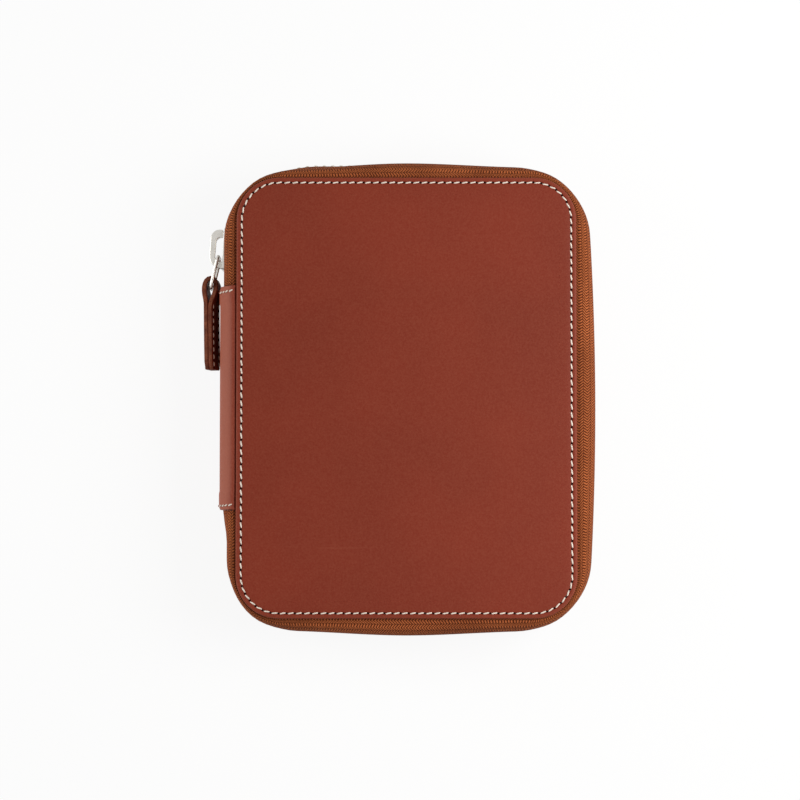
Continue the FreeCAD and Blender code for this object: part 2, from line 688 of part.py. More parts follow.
def pull_tab():
    """Leather strip folded round the ring's lower bar, its two plies sewn together."""
    body = new_body("pull_tab")
    sketch = new_sketch(body, "XY_Plane")
    ply = "(tab_wall / 2)"
    loop = "(tab_loop / 2)"
    shoulder = "(tab_loop_rise - tab_loop / 2)"
    add_polygon(sketch, [
        (f"-{ply}", "-tab_length"), (ply, "-tab_length"), (ply, "-tab_neck"), (loop, "0"), (loop, shoulder),
        (f"{ply} / 2", "tab_loop_rise"), (f"-{ply} / 2", "tab_loop_rise"), (f"-{loop}", shoulder),
        (f"-{loop}", "0"), (f"-{ply}", "-tab_neck"),
    ])
    add_feature(body, "Pad", sketch, "tab_width")
    low = -size("tab_length")
    neck = -size("tab_neck")
    near = size("tab_round") / 4
    add_fillet(
        body, "tab_round",
        lambda edge: runs_along(edge, Z_AXIS) and abs(edge.CenterOfMass.y - low) < near,
    )
    add_fillet(
        body, "tab_bend",
        lambda edge: runs_along(edge, Z_AXIS) and edge.CenterOfMass.y > neck - near,
    )
    eye = new_sketch(body, "XY_Plane")
    add_circle(eye, ("0", "tab_eye_rise"), "tab_eye")
    add_feature(body, "Pocket", eye, "2 * tab_width")
    bar = ring_place().multVec(Vector(size("ring_span"), 0, 0))
    body.Placement = Placement(bar, Rotation())


def finish():
    """Stops on a failed sub-part, then writes each one."""
    doc.recompute()
    failed = [item.Name for item in doc.Objects if {"Invalid", "Error"} & set(item.State)]
    bad = [item.Label for item in SUB_PARTS if item.Shape.isNull() or not item.Shape.isValid()]
    if failed or bad:
        raise RuntimeError(f"failed objects {failed}, bad shapes {bad}")
    os.makedirs("parts", exist_ok=True)
    for item in SUB_PARTS:
        item.Shape.exportStep(f"parts/{item.Label}.step")


cover_leather("back_leather", "0", 0)
cover_leather("front_leather", "case_depth - leather_wall", size("case_depth"))
cover_board("back_board", "leather_wall")
cover_board("front_board", "case_depth - leather_wall - board_wall")
cover_lining("back_lining", f"leather_wall + {LAYER}")
cover_lining("front_lining", f"case_depth - {INSIDE_LOW}")
pen_band("back_pen_band", INSIDE_LOW, "+")
pen_band("front_pen_band", f"case_depth - {INSIDE_LOW}", "-")
spine_strip()
spine_lining()
divider()
tape("back_tape", -1)
tape("front_tape", 1)
chain("back", -1)
chain("front", 1)
slider()
pull_ring()
pull_tab()
finish()
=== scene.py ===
import math
from collections import namedtuple

import bmesh
import bpy
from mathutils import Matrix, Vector


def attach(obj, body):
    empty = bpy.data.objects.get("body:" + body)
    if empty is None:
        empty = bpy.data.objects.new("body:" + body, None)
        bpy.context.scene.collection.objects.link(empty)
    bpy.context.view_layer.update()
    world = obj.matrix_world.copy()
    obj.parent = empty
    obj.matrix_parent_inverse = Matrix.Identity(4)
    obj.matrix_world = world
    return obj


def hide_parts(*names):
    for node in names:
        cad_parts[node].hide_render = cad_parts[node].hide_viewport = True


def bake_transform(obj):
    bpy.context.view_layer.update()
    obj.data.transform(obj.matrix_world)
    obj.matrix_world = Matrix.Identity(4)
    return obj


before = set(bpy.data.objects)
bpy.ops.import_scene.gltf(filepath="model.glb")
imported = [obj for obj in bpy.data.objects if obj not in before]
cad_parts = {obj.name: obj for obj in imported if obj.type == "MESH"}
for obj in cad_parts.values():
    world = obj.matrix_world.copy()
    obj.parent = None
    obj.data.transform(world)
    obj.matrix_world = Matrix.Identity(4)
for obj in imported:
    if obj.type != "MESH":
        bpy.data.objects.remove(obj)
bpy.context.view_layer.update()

# Studio: a white table top in an even white room, a soft lamp from the right and a larger, lower
# one from the left. The camera looks down almost straight, a little from the lower side.
MM = 0.001
ROOM_LIGHT = 0.27
ROOM_SEEN = 0.95
TABLE_SEEN = 0.9
TABLE_HALF = 2.5
TABLE_DROP = 0.2 * MM
LAMP_AIM = Vector((0, 0, 20)) * MM
CAMERA_LEAN = math.radians(3.2)
CAMERA_AIM = Vector((-2.6, -1.2, 38.0)) * MM
CAMERA_REACH = 1.0667
scene = bpy.context.scene
scene.view_settings.view_transform = "Standard"


def srgb(code):
    """Linear colour of an sRGB hex value."""
    parts = [int(code[i:i + 2], 16) / 255 for i in (1, 3, 5)]
    return [c / 12.92 if c <= 0.04045 else ((c + 0.055) / 1.055) ** 2.4 for c in parts] + [1]


def add_node(tree, kind, sockets=None, **settings):
    """One node with its settings. Each socket takes a value, or the node or socket that feeds it.

    In a colour mix, socket 0 is the share of the second colour, 6 the first colour and 7 the second.
    """
    node = tree.nodes.new(kind)
    for name, value in settings.items():
        setattr(node, name, value)
    for name, value in (sockets or {}).items():
        if isinstance(value, bpy.types.Node):
            value = next(output for output in value.outputs if output.enabled)
        if isinstance(value, bpy.types.NodeSocket):
            tree.links.new(value, node.inputs[name])
        else:
            node.inputs[name].default_value = value
    return node


def seen_rays(tree, *kinds):
    """1 for the kinds of ray that show the bright background, 0 for those that light the object."""
    path = add_node(tree, "ShaderNodeLightPath").outputs
    seen = path[kinds[0]]
    for kind in kinds[1:]:
        seen = add_node(tree, "ShaderNodeMath", {0: seen, 1: path[kind]}, operation="MAXIMUM")
    return seen


def new_material(name):
    """Node material with an empty tree."""
    material = bpy.data.materials.new(name)
    material.use_nodes = True
    material.node_tree.nodes.clear()
    return material, material.node_tree


def link_mesh(name, mesh):
    """Object at the origin that shows a mesh."""
    obj = bpy.data.objects.new(name, mesh)
    scene.collection.objects.link(obj)
    return obj


def new_object(name, verts, faces, smooth_angle=40):
    """Mesh object with its place in its mesh; edges sharper than the angle stay crisp."""
    mesh = bpy.data.meshes.new(name)
    mesh.from_pydata([tuple(v) for v in verts], [], faces)
    mesh.update()
    mesh.shade_smooth()
    mesh.set_sharp_from_angle(angle=math.radians(smooth_angle))
    return link_mesh(name, mesh)


def soft_lamp(name, place, side, watts):
    """Square area lamp that faces the case."""
    lamp = bpy.data.lights.new(name, "AREA")
    lamp.shape = "SQUARE"
    lamp.size = side
    lamp.energy = watts
    obj = bpy.data.objects.new(name, lamp)
    scene.collection.objects.link(obj)
    obj.location = place
    obj.rotation_euler = (LAMP_AIM - Vector(place)).to_track_quat("-Z", "Y").to_euler()


world = bpy.data.worlds.new("white_room")
scene.world = world
world.use_nodes = True
tree = world.node_tree
tree.nodes.clear()
white = srgb("#ffffff")
dim = add_node(tree, "ShaderNodeBackground", {"Color": white, "Strength": ROOM_LIGHT})
bright = add_node(tree, "ShaderNodeBackground", {"Color": white, "Strength": ROOM_SEEN})
seen = seen_rays(tree, "Is Camera Ray", "Is Glossy Ray")
room = add_node(tree, "ShaderNodeMixShader", {0: seen, 1: dim, 2: bright})
add_node(tree, "ShaderNodeOutputWorld", {"Surface": room})

corners = [(x * TABLE_HALF, y * TABLE_HALF, -TABLE_DROP) for x, y in ((-1, -1), (1, -1), (1, 1), (-1, 1))]
table = new_object("table_top", corners, [(0, 1, 2, 3)])
table_white, tree = new_material("white_laminate")
laminate = add_node(tree, "ShaderNodeBsdfDiffuse", {"Color": srgb("#f4f3f1")})
glow = add_node(tree, "ShaderNodeEmission", {"Color": white, "Strength": 1.0})
seen = seen_rays(tree, "Is Camera Ray", "Is Glossy Ray", "Is Transmission Ray")
share = add_node(tree, "ShaderNodeMath", {0: seen, 1: TABLE_SEEN}, operation="MULTIPLY")
mixed = add_node(tree, "ShaderNodeMixShader", {0: share, 1: laminate, 2: glow})
add_node(tree, "ShaderNodeOutputMaterial", {"Surface": mixed})
table.data.materials.append(table_white)

soft_lamp("key_lamp", place=(0.36, 0.02, 0.4), side=0.35, watts=2.6)
soft_lamp("fill_lamp", place=(-0.8, 0.05, 0.26), side=0.6, watts=4)

camera_data = bpy.data.cameras.new("straight_down")
camera_data.lens = 120
camera_data.sensor_width = 36
camera_data.clip_end = 20
camera = bpy.data.objects.new("straight_down", camera_data)
camera.location = CAMERA_AIM + CAMERA_REACH * Vector((0, -math.sin(CAMERA_LEAN), math.cos(CAMERA_LEAN)))
camera.rotation_euler = (CAMERA_LEAN, 0, 0)
scene.collection.objects.link(camera)
scene.camera = camera


# Covers: two panels of smooth vegetable-tanned leather, cut with round corners. The edge is
# burnished round, and the saddle stitching lies in a shallow groove pressed beside the edge.
COVER_HALF_X = 68.2
COVER_HALF_Y = 88.4
COVER_CORNER = 17.0
COVER_OUTLINE = (-COVER_HALF_X, COVER_HALF_X, COVER_HALF_Y, COVER_CORNER)
CASE_DEPTH = 38.0
COVER_FACES = (("front", CASE_DEPTH, 1), ("back", 0.0, -1))
STITCH_INSET = 2.1
GROOVE_DEPTH = 0.3
# Rings of the panel from its under side to its middle: inset, drop below the outer face, and how
# far the ring belongs to the burnished edge.
COVER_RINGS = [
    (1.2, 1.6, 0), (0.25, 1.6, 0.4), (0.05, 1.4, 0.8), (0, 1.05, 1), (0, 0.7, 1), (0.12, 0.35, 1),
    (0.4, 0.1, 0.8), (0.8, 0.0, 0.35), (1.3, 0.0, 0), (1.65, 0.07, 0), (1.9, 0.22, 0),
    (STITCH_INSET, GROOVE_DEPTH, 0), (2.3, 0.22, 0), (2.55, 0.07, 0), (2.95, 0.0, 0), (4.5, -0.05, 0),
    (8, -0.1, 0), (14, -0.16, 0), (24, -0.2, 0), (40, -0.22, 0), (60, -0.22, 0),
]
LEAST_CORNER = 0.5
CORNER_STEPS = 14
SHORT_SIDE_STEPS = 22
LONG_SIDE_STEPS = 30


def rounded_ring(left, right, half_y, corner, inset, height):
    """Points in millimetres of a rounded rectangle drawn in by an inset, from its lower right corner."""
    corner = max(corner - inset, LEAST_CORNER)
    reach_x = (left + inset + corner, right - inset - corner)
    reach_y = half_y - inset - corner
    centres = [(reach_x[1], -reach_y), (reach_x[1], reach_y), (reach_x[0], reach_y), (reach_x[0], -reach_y)]
    ring = []
    for i, (x, y) in enumerate(centres):
        for step in range(CORNER_STEPS + 1):
            turn = math.pi / 2 * (i - 1 + step / CORNER_STEPS)
            ring.append(Vector((x + corner * math.cos(turn), y + corner * math.sin(turn), height)))
        turn = math.pi / 2 * i
        out = Vector((corner * math.cos(turn), corner * math.sin(turn), 0))
        start = Vector((x, y, height))
        stop = Vector((*centres[(i + 1) % 4], height))
        steps = LONG_SIDE_STEPS if i % 2 == 0 else SHORT_SIDE_STEPS
        ring += [start.lerp(stop, step / steps) + out for step in range(1, steps)]
    return ring


def skin_rings(name, rings, smooth_angle=40):
    """Closed solid through rings with the same count of points, capped at both ends."""
    count = len(rings[0])
    verts = [point * MM for ring in rings for point in ring]
    faces = [tuple(reversed(range(count)))]
    for i in range(len(rings) - 1):
        for j in range(count):
            k = (j + 1) % count
            faces.append((i * count + j, i * count + k, (i + 1) * count + k, (i + 1) * count + j))
    faces.append(tuple(range((len(rings) - 1) * count, len(rings) * count)))
    obj = new_object(name, verts, faces, smooth_angle)
    work = bmesh.new()
    work.from_mesh(obj.data)
    bmesh.ops.recalc_face_normals(work, faces=work.faces)
    work.to_mesh(obj.data)
    work.free()
    return obj


def soft_panel(name, outline, face, up, levels):
    """Flat panel with round corners, through levels of inset and rise from a face, lowest first."""
    return skin_rings(name, [rounded_ring(*outline, inset, face + up * rise) for inset, rise in levels])


def ring_attribute(obj, name, values, count):
    """One number per ring, kept as an attribute that the material reads."""
    attribute = obj.data.attributes.new(name, "FLOAT", "POINT")
    attribute.data.foreach_set("value", [v for v in values for _ in range(count)])


def fit_piece(piece, material, body, node):
    """Gives a piece its finish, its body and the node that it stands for."""
    piece.data.materials.append(material)
    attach(piece, body)
    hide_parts(node)


def cells(size):
    """Scale of a pattern whose cells have a size in millimetres."""
    return 1 / (size * MM)


# Waxed vegetable-tanned leather: an even brown-red with a faint cloudy tone, fine grain and pores,
# a few pale scratches and a low waxy sheen. Where its edge attribute marks it, it is paler: on a
# cover's burnished edge, and on the spine strip's bulge, where the paler tone is painted sheen.
# The grain is drawn 0.7 mm wide, as coarse as the photograph shows it.
LEATHER_CLOUD = 45.5
LEATHER_GRAIN = 0.714
LEATHER_PORE = 0.909
SCRATCH_CELL = (111, 3.85, 25)
SCRATCH_TURN = 0.5


def waxed_leather(name, base, deep, pale, edge_and_sheen_pale=0.25):
    """Leather finish from its middle, deep and pale tones."""
    material, tree = new_material(name)
    place = add_node(tree, "ShaderNodeTexCoord").outputs["Object"]
    cloud = add_node(tree, "ShaderNodeTexNoise", {
        "Vector": place, "Scale": cells(LEATHER_CLOUD), "Detail": 3, "Roughness": 0.5})
    grain = add_node(tree, "ShaderNodeTexNoise", {
        "Vector": place, "Scale": cells(LEATHER_GRAIN), "Detail": 3, "Roughness": 0.6})
    pores = add_node(tree, "ShaderNodeTexVoronoi", {
        "Vector": place, "Scale": cells(LEATHER_PORE), "Randomness": 1.0})
    turned = add_node(tree, "ShaderNodeMapping", {
        "Vector": place, "Rotation": (0, 0, SCRATCH_TURN), "Scale": [cells(size) for size in SCRATCH_CELL]})
    streak = add_node(tree, "ShaderNodeTexNoise", {"Vector": turned, "Scale": 1.0, "Detail": 2})
    cloudy = add_node(tree, "ShaderNodeMapRange", {"Value": cloud, "From Min": 0.3, "From Max": 0.7})
    speck = add_node(tree, "ShaderNodeMapRange", {
        "Value": grain, "From Min": 0.35, "From Max": 0.75, "To Max": 0.2})
    scratch = add_node(tree, "ShaderNodeMapRange", {
        "Value": streak, "From Min": 0.72, "From Max": 0.8, "To Max": 0.14})
    # Paler where the attribute marks it: on the covers' burnished edges, and as painted sheen on the spine
    # strip's bulge.
    edge_and_sheen = add_node(tree, "ShaderNodeAttribute", attribute_name="edge_and_sheen").outputs["Fac"]
    edge_and_sheen_share = add_node(tree, "ShaderNodeMath", {0: edge_and_sheen, 1: edge_and_sheen_pale}, operation="MULTIPLY")
    tone = add_node(tree, "ShaderNodeMix", {0: cloudy, 6: srgb(deep), 7: srgb(base)}, data_type="RGBA")
    for share in (speck, scratch, edge_and_sheen_share):
        tone = add_node(tree, "ShaderNodeMix", {0: share, 6: tone, 7: srgb(pale)}, data_type="RGBA")
    height = add_node(tree, "ShaderNodeMath", {0: grain, 1: pores}, operation="ADD")
    bump = add_node(tree, "ShaderNodeBump", {"Height": height, "Strength": 0.14, "Distance": 0.25 * MM})
    gloss = add_node(tree, "ShaderNodeMapRange", {
        "Value": cloud, "From Min": 0.3, "From Max": 0.7, "To Min": 0.48, "To Max": 0.58})
    shader = add_node(tree, "ShaderNodeBsdfPrincipled", {
        "Base Color": tone, "Roughness": gloss, "Normal": bump, "IOR": 1.5, "Specular IOR Level": 0.12})
    add_node(tree, "ShaderNodeOutputMaterial", {"Surface": shader})
    return material


cover_leather = waxed_leather("waxed_chestnut_leather", "#7d2e1d", "#752b1b", "#a05b44")
for side, face, up in COVER_FACES:
    # Only the front cover is crowned: the back one lies flat on the table.
    levels = [(inset, -drop if up > 0 else -max(drop, 0)) for inset, drop, _ in COVER_RINGS]
    panel = soft_panel(f"{side}_cover", COVER_OUTLINE, face, up, levels)
    ring_attribute(panel, "edge_and_sheen", [edge_and_sheen for _, _, edge_and_sheen in COVER_RINGS], len(panel.data.vertices) // len(levels))
    fit_piece(panel, cover_leather, side, f"{side}_leather")


# Saddle stitching round each cover: thick waxed cream thread that lies a little slanted, and goes
# down through a pricked hole at both ends of every stitch; each hole is a dark disc, painted shade.
STITCH_PITCH = 3.26
STITCH_LENGTH = 2.5
STITCH_SLANT = 0.2
THREAD_WIDTH = 0.62
HOLE_DEPTH = 0.16
# Shape of a stitch in thread widths: how much thinner and how much lower its ends are, and the
# radius of the hole. The power keeps the middle of the stitch straight.
END_THINNER = 0.4
END_LOWER = 0.45
END_POWER = 4.0
HOLE_RADIUS = 0.68
# Depth of the thread's middle below the cover's face: it fills the groove on the front, and on the
# back it is sunk further, to clear the table.
THREAD_RISE = 0.38
THREAD_SINK = {"front": GROOVE_DEPTH - THREAD_RISE * THREAD_WIDTH, "back": 0.32}
# Sizes of the thread's twisted strands and of the fibres in a hole.
THREAD_STRAND = 0.385
HOLE_FIBRE = 0.333


def new_tree(name, result, **inputs):
    """Geometry tree with named inputs, each with its kind of socket and its default, and one result."""
    tree = bpy.data.node_groups.new(name, "GeometryNodeTree")
    for title, (kind, default) in inputs.items():
        socket = tree.interface.new_socket(title, in_out="INPUT", socket_type=f"NodeSocket{kind}")
        if default is not None:
            socket.default_value = default
    tree.interface.new_socket(result, in_out="OUTPUT", socket_type="NodeSocketGeometry")
    return tree, add_node(tree, "NodeGroupInput").outputs


def follow_path(tree, given):
    """Points one pitch apart along a path, its direction, and the turn that lays X along it and Z up."""
    line = add_node(tree, "GeometryNodeMeshToCurve", {"Mesh": given["Path"]})
    line = add_node(tree, "GeometryNodeResampleCurve", {
        "Curve": line, "Length": given["Pitch"]}, mode="LENGTH")
    ahead = add_node(tree, "GeometryNodeInputTangent")
    turn = add_node(tree, "FunctionNodeAlignRotationToVector", {"Vector": ahead}, axis="X")
    turn = add_node(tree, "FunctionNodeAlignRotationToVector", {
        "Rotation": turn, "Vector": given["Up"]}, axis="Z", pivot_axis="X")
    return line, ahead, turn


def set_on_points(tree, points, shape, turn, material):
    """Copies of a shape on points, made real and given their material."""
    row = add_node(tree, "GeometryNodeInstanceOnPoints", {
        "Points": points, "Instance": shape, "Rotation": turn})
    row = add_node(tree, "GeometryNodeRealizeInstances", {0: row})
    return add_node(tree, "GeometryNodeSetMaterial", {"Geometry": row, "Material": material})


def saddle_stitch_tree():
    """Stitches and holes along a path: every stitch is a thread that dips at both ends."""
    tree, given = new_tree(
        "saddle_stitch", "Stitches", Path=("Geometry", None), Pitch=("Float", STITCH_PITCH * MM),
        Length=("Float", STITCH_LENGTH * MM), Width=("Float", THREAD_WIDTH * MM),
        Slant=("Float", STITCH_SLANT), Up=("Vector", (0, 0, 1)),
        Thread=("Material", None), Hole=("Material", None))
    line, ahead, turn = follow_path(tree, given)
    slant = add_node(tree, "ShaderNodeCombineXYZ", {"Z": given["Slant"]})
    slant = add_node(tree, "FunctionNodeEulerToRotation", {0: slant})
    leaned = add_node(tree, "FunctionNodeRotateRotation", {0: turn, 1: slant}, rotation_space="LOCAL")

    # A rod of unit size stands on Z. It is laid along X, thinned towards its ends and bent down there.
    rod = add_node(tree, "GeometryNodeMeshCylinder", {
        "Vertices": 8, "Side Segments": 6, "Radius": 0.5, "Depth": 1.0})
    spot = add_node(tree, "GeometryNodeInputPosition")
    spot = add_node(tree, "ShaderNodeSeparateXYZ", {0: spot}).outputs
    far = add_node(tree, "ShaderNodeMath", {0: spot["Z"], 1: 2.0}, operation="MULTIPLY")
    far = add_node(tree, "ShaderNodeMath", {0: far, 1: END_POWER}, operation="POWER")
    thin = add_node(tree, "ShaderNodeMath", {0: far, 1: -END_THINNER, 2: 1.0}, operation="MULTIPLY_ADD")
    girth = add_node(tree, "ShaderNodeMath", {0: thin, 1: given["Width"]}, operation="MULTIPLY")
    length = add_node(tree, "ShaderNodeMath", {0: spot["Z"], 1: given["Length"]}, operation="MULTIPLY")
    across = add_node(tree, "ShaderNodeMath", {0: spot["X"], 1: girth}, operation="MULTIPLY")
    rise = add_node(tree, "ShaderNodeMath", {0: spot["Y"], 1: girth}, operation="MULTIPLY")
    dip = add_node(tree, "ShaderNodeMath", {0: far, 1: given["Width"]}, operation="MULTIPLY")
    rise = add_node(tree, "ShaderNodeMath", {0: dip, 1: -END_LOWER, 2: rise}, operation="MULTIPLY_ADD")
    shaped = add_node(tree, "ShaderNodeCombineXYZ", {0: length, 1: across, 2: rise})
    stitch = add_node(tree, "GeometryNodeSetPosition", {"Geometry": rod, "Position": shaped})
    stitch = add_node(tree, "GeometryNodeSetShadeSmooth", {0: stitch})
    row = set_on_points(tree, line, stitch, leaned, given["Thread"])

    # The holes lie half a pitch further on, between the stitches.
    half = add_node(tree, "ShaderNodeMath", {0: given["Pitch"], 1: 0.5}, operation="MULTIPLY")
    step = add_node(tree, "ShaderNodeVectorMath", {0: ahead, "Scale": half}, operation="SCALE")
    between = add_node(tree, "GeometryNodeSetPosition", {"Geometry": line, "Offset": step})
    wide = add_node(tree, "ShaderNodeMath", {0: given["Width"], 1: HOLE_RADIUS}, operation="MULTIPLY")
    pit = add_node(tree, "GeometryNodeMeshCylinder", {
        "Vertices": 8, "Side Segments": 1, "Radius": wide, "Depth": HOLE_DEPTH * MM})
    holes = set_on_points(tree, between, pit, turn, given["Hole"])
    both = add_node(tree, "GeometryNodeJoinGeometry")
    for part in (row, holes):
        tree.links.new(part.outputs[0], both.inputs[0])
    add_node(tree, "NodeGroupOutput", {0: both})
    return tree


def plain_mesh(obj, tree, values, name):
    """Runs a node tree on an object and keeps the result as a plain mesh object."""
    modifier = obj.modifiers.new(tree.name, "NODES")
    modifier.node_group = tree
    for item in tree.interface.items_tree:
        if item.in_out == "INPUT" and item.name in values:
            modifier[item.identifier] = values[item.name]
    depsgraph = bpy.context.evaluated_depsgraph_get()
    mesh = bpy.data.meshes.new_from_object(obj.evaluated_get(depsgraph), depsgraph=depsgraph)
    mesh.name = name
    source = obj.data
    bpy.data.objects.remove(obj)
    bpy.data.meshes.remove(source)
    return link_mesh(name, mesh)


def path_object(lines, closed=False):
    """Edges through lines of points in millimetres, for a node tree to follow."""
    mesh = bpy.data.meshes.new("path")
    verts = []
    edges = []
    for points in lines:
        first = len(verts)
        verts += [tuple(Vector(p) * MM) for p in points]
        edges += [(first + i, first + i + 1) for i in range(len(points) - 1)]
        if closed:
            edges.append((len(verts) - 1, first))
    mesh.from_pydata(verts, edges, [])
    return link_mesh("path", mesh)


# Waxed linen thread: cream white and matt, uneven from its fine twisted strands.
def linen_thread(name, colour, shade):
    """Twisted thread finish."""
    material, tree = new_material(name)
    place = add_node(tree, "ShaderNodeTexCoord").outputs["Object"]
    twist = add_node(tree, "ShaderNodeTexNoise", {
        "Vector": place, "Scale": cells(THREAD_STRAND), "Detail": 2})
    tone = add_node(tree, "ShaderNodeMix", {0: twist, 6: srgb(shade), 7: srgb(colour)}, data_type="RGBA")
    bump = add_node(tree, "ShaderNodeBump", {"Height": twist, "Strength": 0.3, "Distance": 0.1 * MM})
    shader = add_node(tree, "ShaderNodeBsdfPrincipled", {
        "Base Color": tone, "Roughness": 0.75, "Normal": bump})
    add_node(tree, "ShaderNodeOutputMaterial", {"Surface": shader})
    return material


# Pricked hole: a dark, fibrous disc, painted shade of the hole's inside.
def pricked_hole(name, dark, light):
    """Painted shade of a stitch hole: a dark fibrous finish."""
    material, tree = new_material(name)
    place = add_node(tree, "ShaderNodeTexCoord").outputs["Object"]
    fibre = add_node(tree, "ShaderNodeTexNoise", {"Vector": place, "Scale": cells(HOLE_FIBRE), "Detail": 2})
    tone = add_node(tree, "ShaderNodeMix", {0: fibre, 6: srgb(dark), 7: srgb(light)}, data_type="RGBA")
    shader = add_node(tree, "ShaderNodeBsdfPrincipled", {
        "Base Color": tone, "Roughness": 0.95, "Specular IOR Level": 0.1})
    add_node(tree, "ShaderNodeOutputMaterial", {"Surface": shader})
    return material


saddle_stitch = saddle_stitch_tree()
cream_thread = linen_thread("waxed_cream_linen", "#f6ede0", "#d9c8b4")
# Stitch holes are dark discs: painted shade of the holes.
stitch_hole = pricked_hole("painted_hole_shade", "#0d0505", "#24100c")


def stitch_row(name, lines, body, up, closed=False, **sizes):
    """Saddle stitches along lines of points in millimetres, riding on a body if one is named."""
    values = {"Up": up, "Thread": cream_thread, "Hole": stitch_hole}
    values.update({key.capitalize(): value for key, value in sizes.items()})
    row = plain_mesh(path_object(lines, closed), saddle_stitch, values, name)
    if body:
        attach(row, body)
    return row


for side, face, up in COVER_FACES:
    path = rounded_ring(*COVER_OUTLINE, STITCH_INSET, face - up * THREAD_SINK[side])
    row = stitch_row(f"{side}_cover_stitching", [path], side, (0, 0, up), closed=True)


# Zipper tapes: one woven tape sewn under each cover, which swells out past the cover edge and turns
# upright to the teeth. Herringbone twill in orange-brown, with a raised welt beside the cover.
SIDES = (("front", 1), ("back", -1))
TAPE_END = 45.3
TAPE_WALL = 0.8
MIDDLE = CASE_DEPTH / 2
# A line round the case: how far out its sides lie, with the far side at its corners (flank) and in
# its middle (far), and its corner radii. Then come the sags of the upper and lower sides towards
# the slider's corner, the corner below it and the far side, and how far the spine side is drawn in
# below the strip, where the tape is pulled tight. The toothed edge hardly sags at the slider's
# corner, so that the slider runs over it. The far side is always bowed, if only by a trace.
TRACE_OF_BOW = 0.01
RimLine = namedtuple("RimLine", (
    "spine", "flank", "far", "high", "spine_corner", "far_corner",
    "slider_sag", "low_sag", "far_sag", "drawn_in"))
COVER_LINE = RimLine(
    spine=COVER_HALF_X, flank=COVER_HALF_X, far=COVER_HALF_X + TRACE_OF_BOW, high=COVER_HALF_Y,
    spine_corner=COVER_CORNER, far_corner=COVER_CORNER,
    slider_sag=0.0, low_sag=0.0, far_sag=0.0, drawn_in=0.0)
BULGE_LINE = RimLine(
    spine=73.8, flank=74.4, far=76.2, high=95.4, spine_corner=30.5, far_corner=30.5,
    slider_sag=2.4, low_sag=1.9, far_sag=1.7, drawn_in=1.5)
CHAIN_LINE = RimLine(
    spine=72.5, flank=73.7, far=76.0, high=94.8, spine_corner=36.0, far_corner=30.0,
    slider_sag=0.1, low_sag=1.9, far_sag=1.7, drawn_in=0.5)
# Start and length of the stretches over which a side sags: up the case, out from its middle, and
# where a share of the sag is lost again. Then the same for the part that is drawn in: out from the
# middle, and where it begins and ends along the spine side.
SAG_UP = (60, 25)
SAG_OUT = (0, 52)
SAG_LOSS = (50, 12)
SAG_LOST = 0.35
DRAWN_OUT = (50, 12)
DRAWN_FROM = (44, 14)
DRAWN_TO = (72, 18)
# Columns of the tape on the spine side and its corner, with the notch for the slider between two.
SIDE_SHARES = (0, 0.23, 0.459, 0.65, 0.83)
CORNER_SHARES = (0, 0.07, 0.14, 0.2144, 0.3, 0.37, 0.44, 0.51, 0.58, 0.65, 0.72, 0.79, 0.86, 0.93)
NOTCH_COLUMNS = range(2, len(SIDE_SHARES) + 3)
TOP_STEPS = 24
ARC_STEPS = 16
# Rows of the tape from under the cover to the toothed edge: share of the way to the fullest line
# or to the toothed edge, inset and rise above the middle. The notch is cut in the upright rows.
SHOULDER_ROWS = [
    (0.0, 2.5, 17.36), (0.0, 0.4, 17.3), (0.06, 0, 16.95), (0.14, 0, 17.1), (0.22, 0, 17.2), (0.3, 0, 17.0),
    (0.36, 0, 16.55), (0.46, 0, 16.45), (0.6, 0, 15.8), (0.75, 0, 14.5), (0.9, 0, 12.5), (1.0, 0, 10.0),
]
EDGE_ROWS = [(0.45, 0, 8.2), (1.0, 0, 6.0), (1.0, 0, 4.2), (1.0, 0, 2.4)]
UPRIGHT_ROW = 13


def mix_lines(first, second, share):
    """Line part of the way between two lines."""
    return RimLine(*(a + (b - a) * share for a, b in zip(first, second)))


def eased(value, start, length):
    """Smooth step from 0 at a start to 1 at a length from it."""
    share = min(1.0, max(0.0, (value - start) / length))
    return share * share * (3 - 2 * share)


def on_arc(centre, radius, angle):
    """Point of an arc that lies level."""
    return centre + Vector((math.cos(angle), math.sin(angle), 0)) * radius


def sagged(point, spine_sag, far_sag):
    """Point of the upper side, let down by the sag of its end of the case."""
    out = abs(point.x)
    sag = (spine_sag if point.x < 0 else far_sag) * eased(point.y, *SAG_UP) * eased(out, *SAG_OUT)
    return point - Vector((0, sag * (1 - SAG_LOST * eased(out, *SAG_LOSS)), 0))


def rim_points(line, inset, height):
    """Points along a line round the case, clockwise from one end of the spine strip to the other."""
    spine_r = line.spine_corner - inset
    far_r = line.far_corner - inset
    spine_c = Vector((line.spine_corner - line.spine, line.high - line.spine_corner, height))
    far_c = Vector((line.flank - line.far_corner, line.high - line.far_corner, height))
    # The far side is a wide bow that runs smoothly into both of its corners.
    reach = line.far - inset - far_c.x
    bow = (reach ** 2 + far_c.y ** 2 - far_r ** 2) / (2 * (reach - far_r))
    bow_c = Vector((line.far - inset - bow, 0, height))
    bow_angle = math.atan2(far_c.y, bow - reach)
    square = math.pi / 2

    side_run = spine_c.y - TAPE_END
    points = [Vector((inset - line.spine, TAPE_END + side_run * s, height)) for s in SIDE_SHARES]
    points += [on_arc(spine_c, spine_r, math.pi - square * s) for s in CORNER_SHARES]
    top = [on_arc(spine_c, spine_r, square), on_arc(far_c, far_r, square)]
    points += [top[0].lerp(top[1], i / TOP_STEPS) for i in range(TOP_STEPS)]
    turns = [i / ARC_STEPS for i in range(ARC_STEPS)]
    points += [on_arc(far_c, far_r, square + (bow_angle - square) * s) for s in turns]
    points += [on_arc(bow_c, bow, bow_angle * (1 - s)) for s in turns]

    upper = [sagged(p, line.slider_sag, line.far_sag) for p in points]
    lower = [sagged(p, line.low_sag, line.far_sag) for p in reversed(points)]
    for p in lower:
        along = eased(p.y, *DRAWN_FROM) * (1 - eased(p.y, *DRAWN_TO))
        p.x += line.drawn_in * eased(-p.x, *DRAWN_OUT) * along
        p.y = -p.y
    return upper + [on_arc(bow_c, bow, 0)] + lower
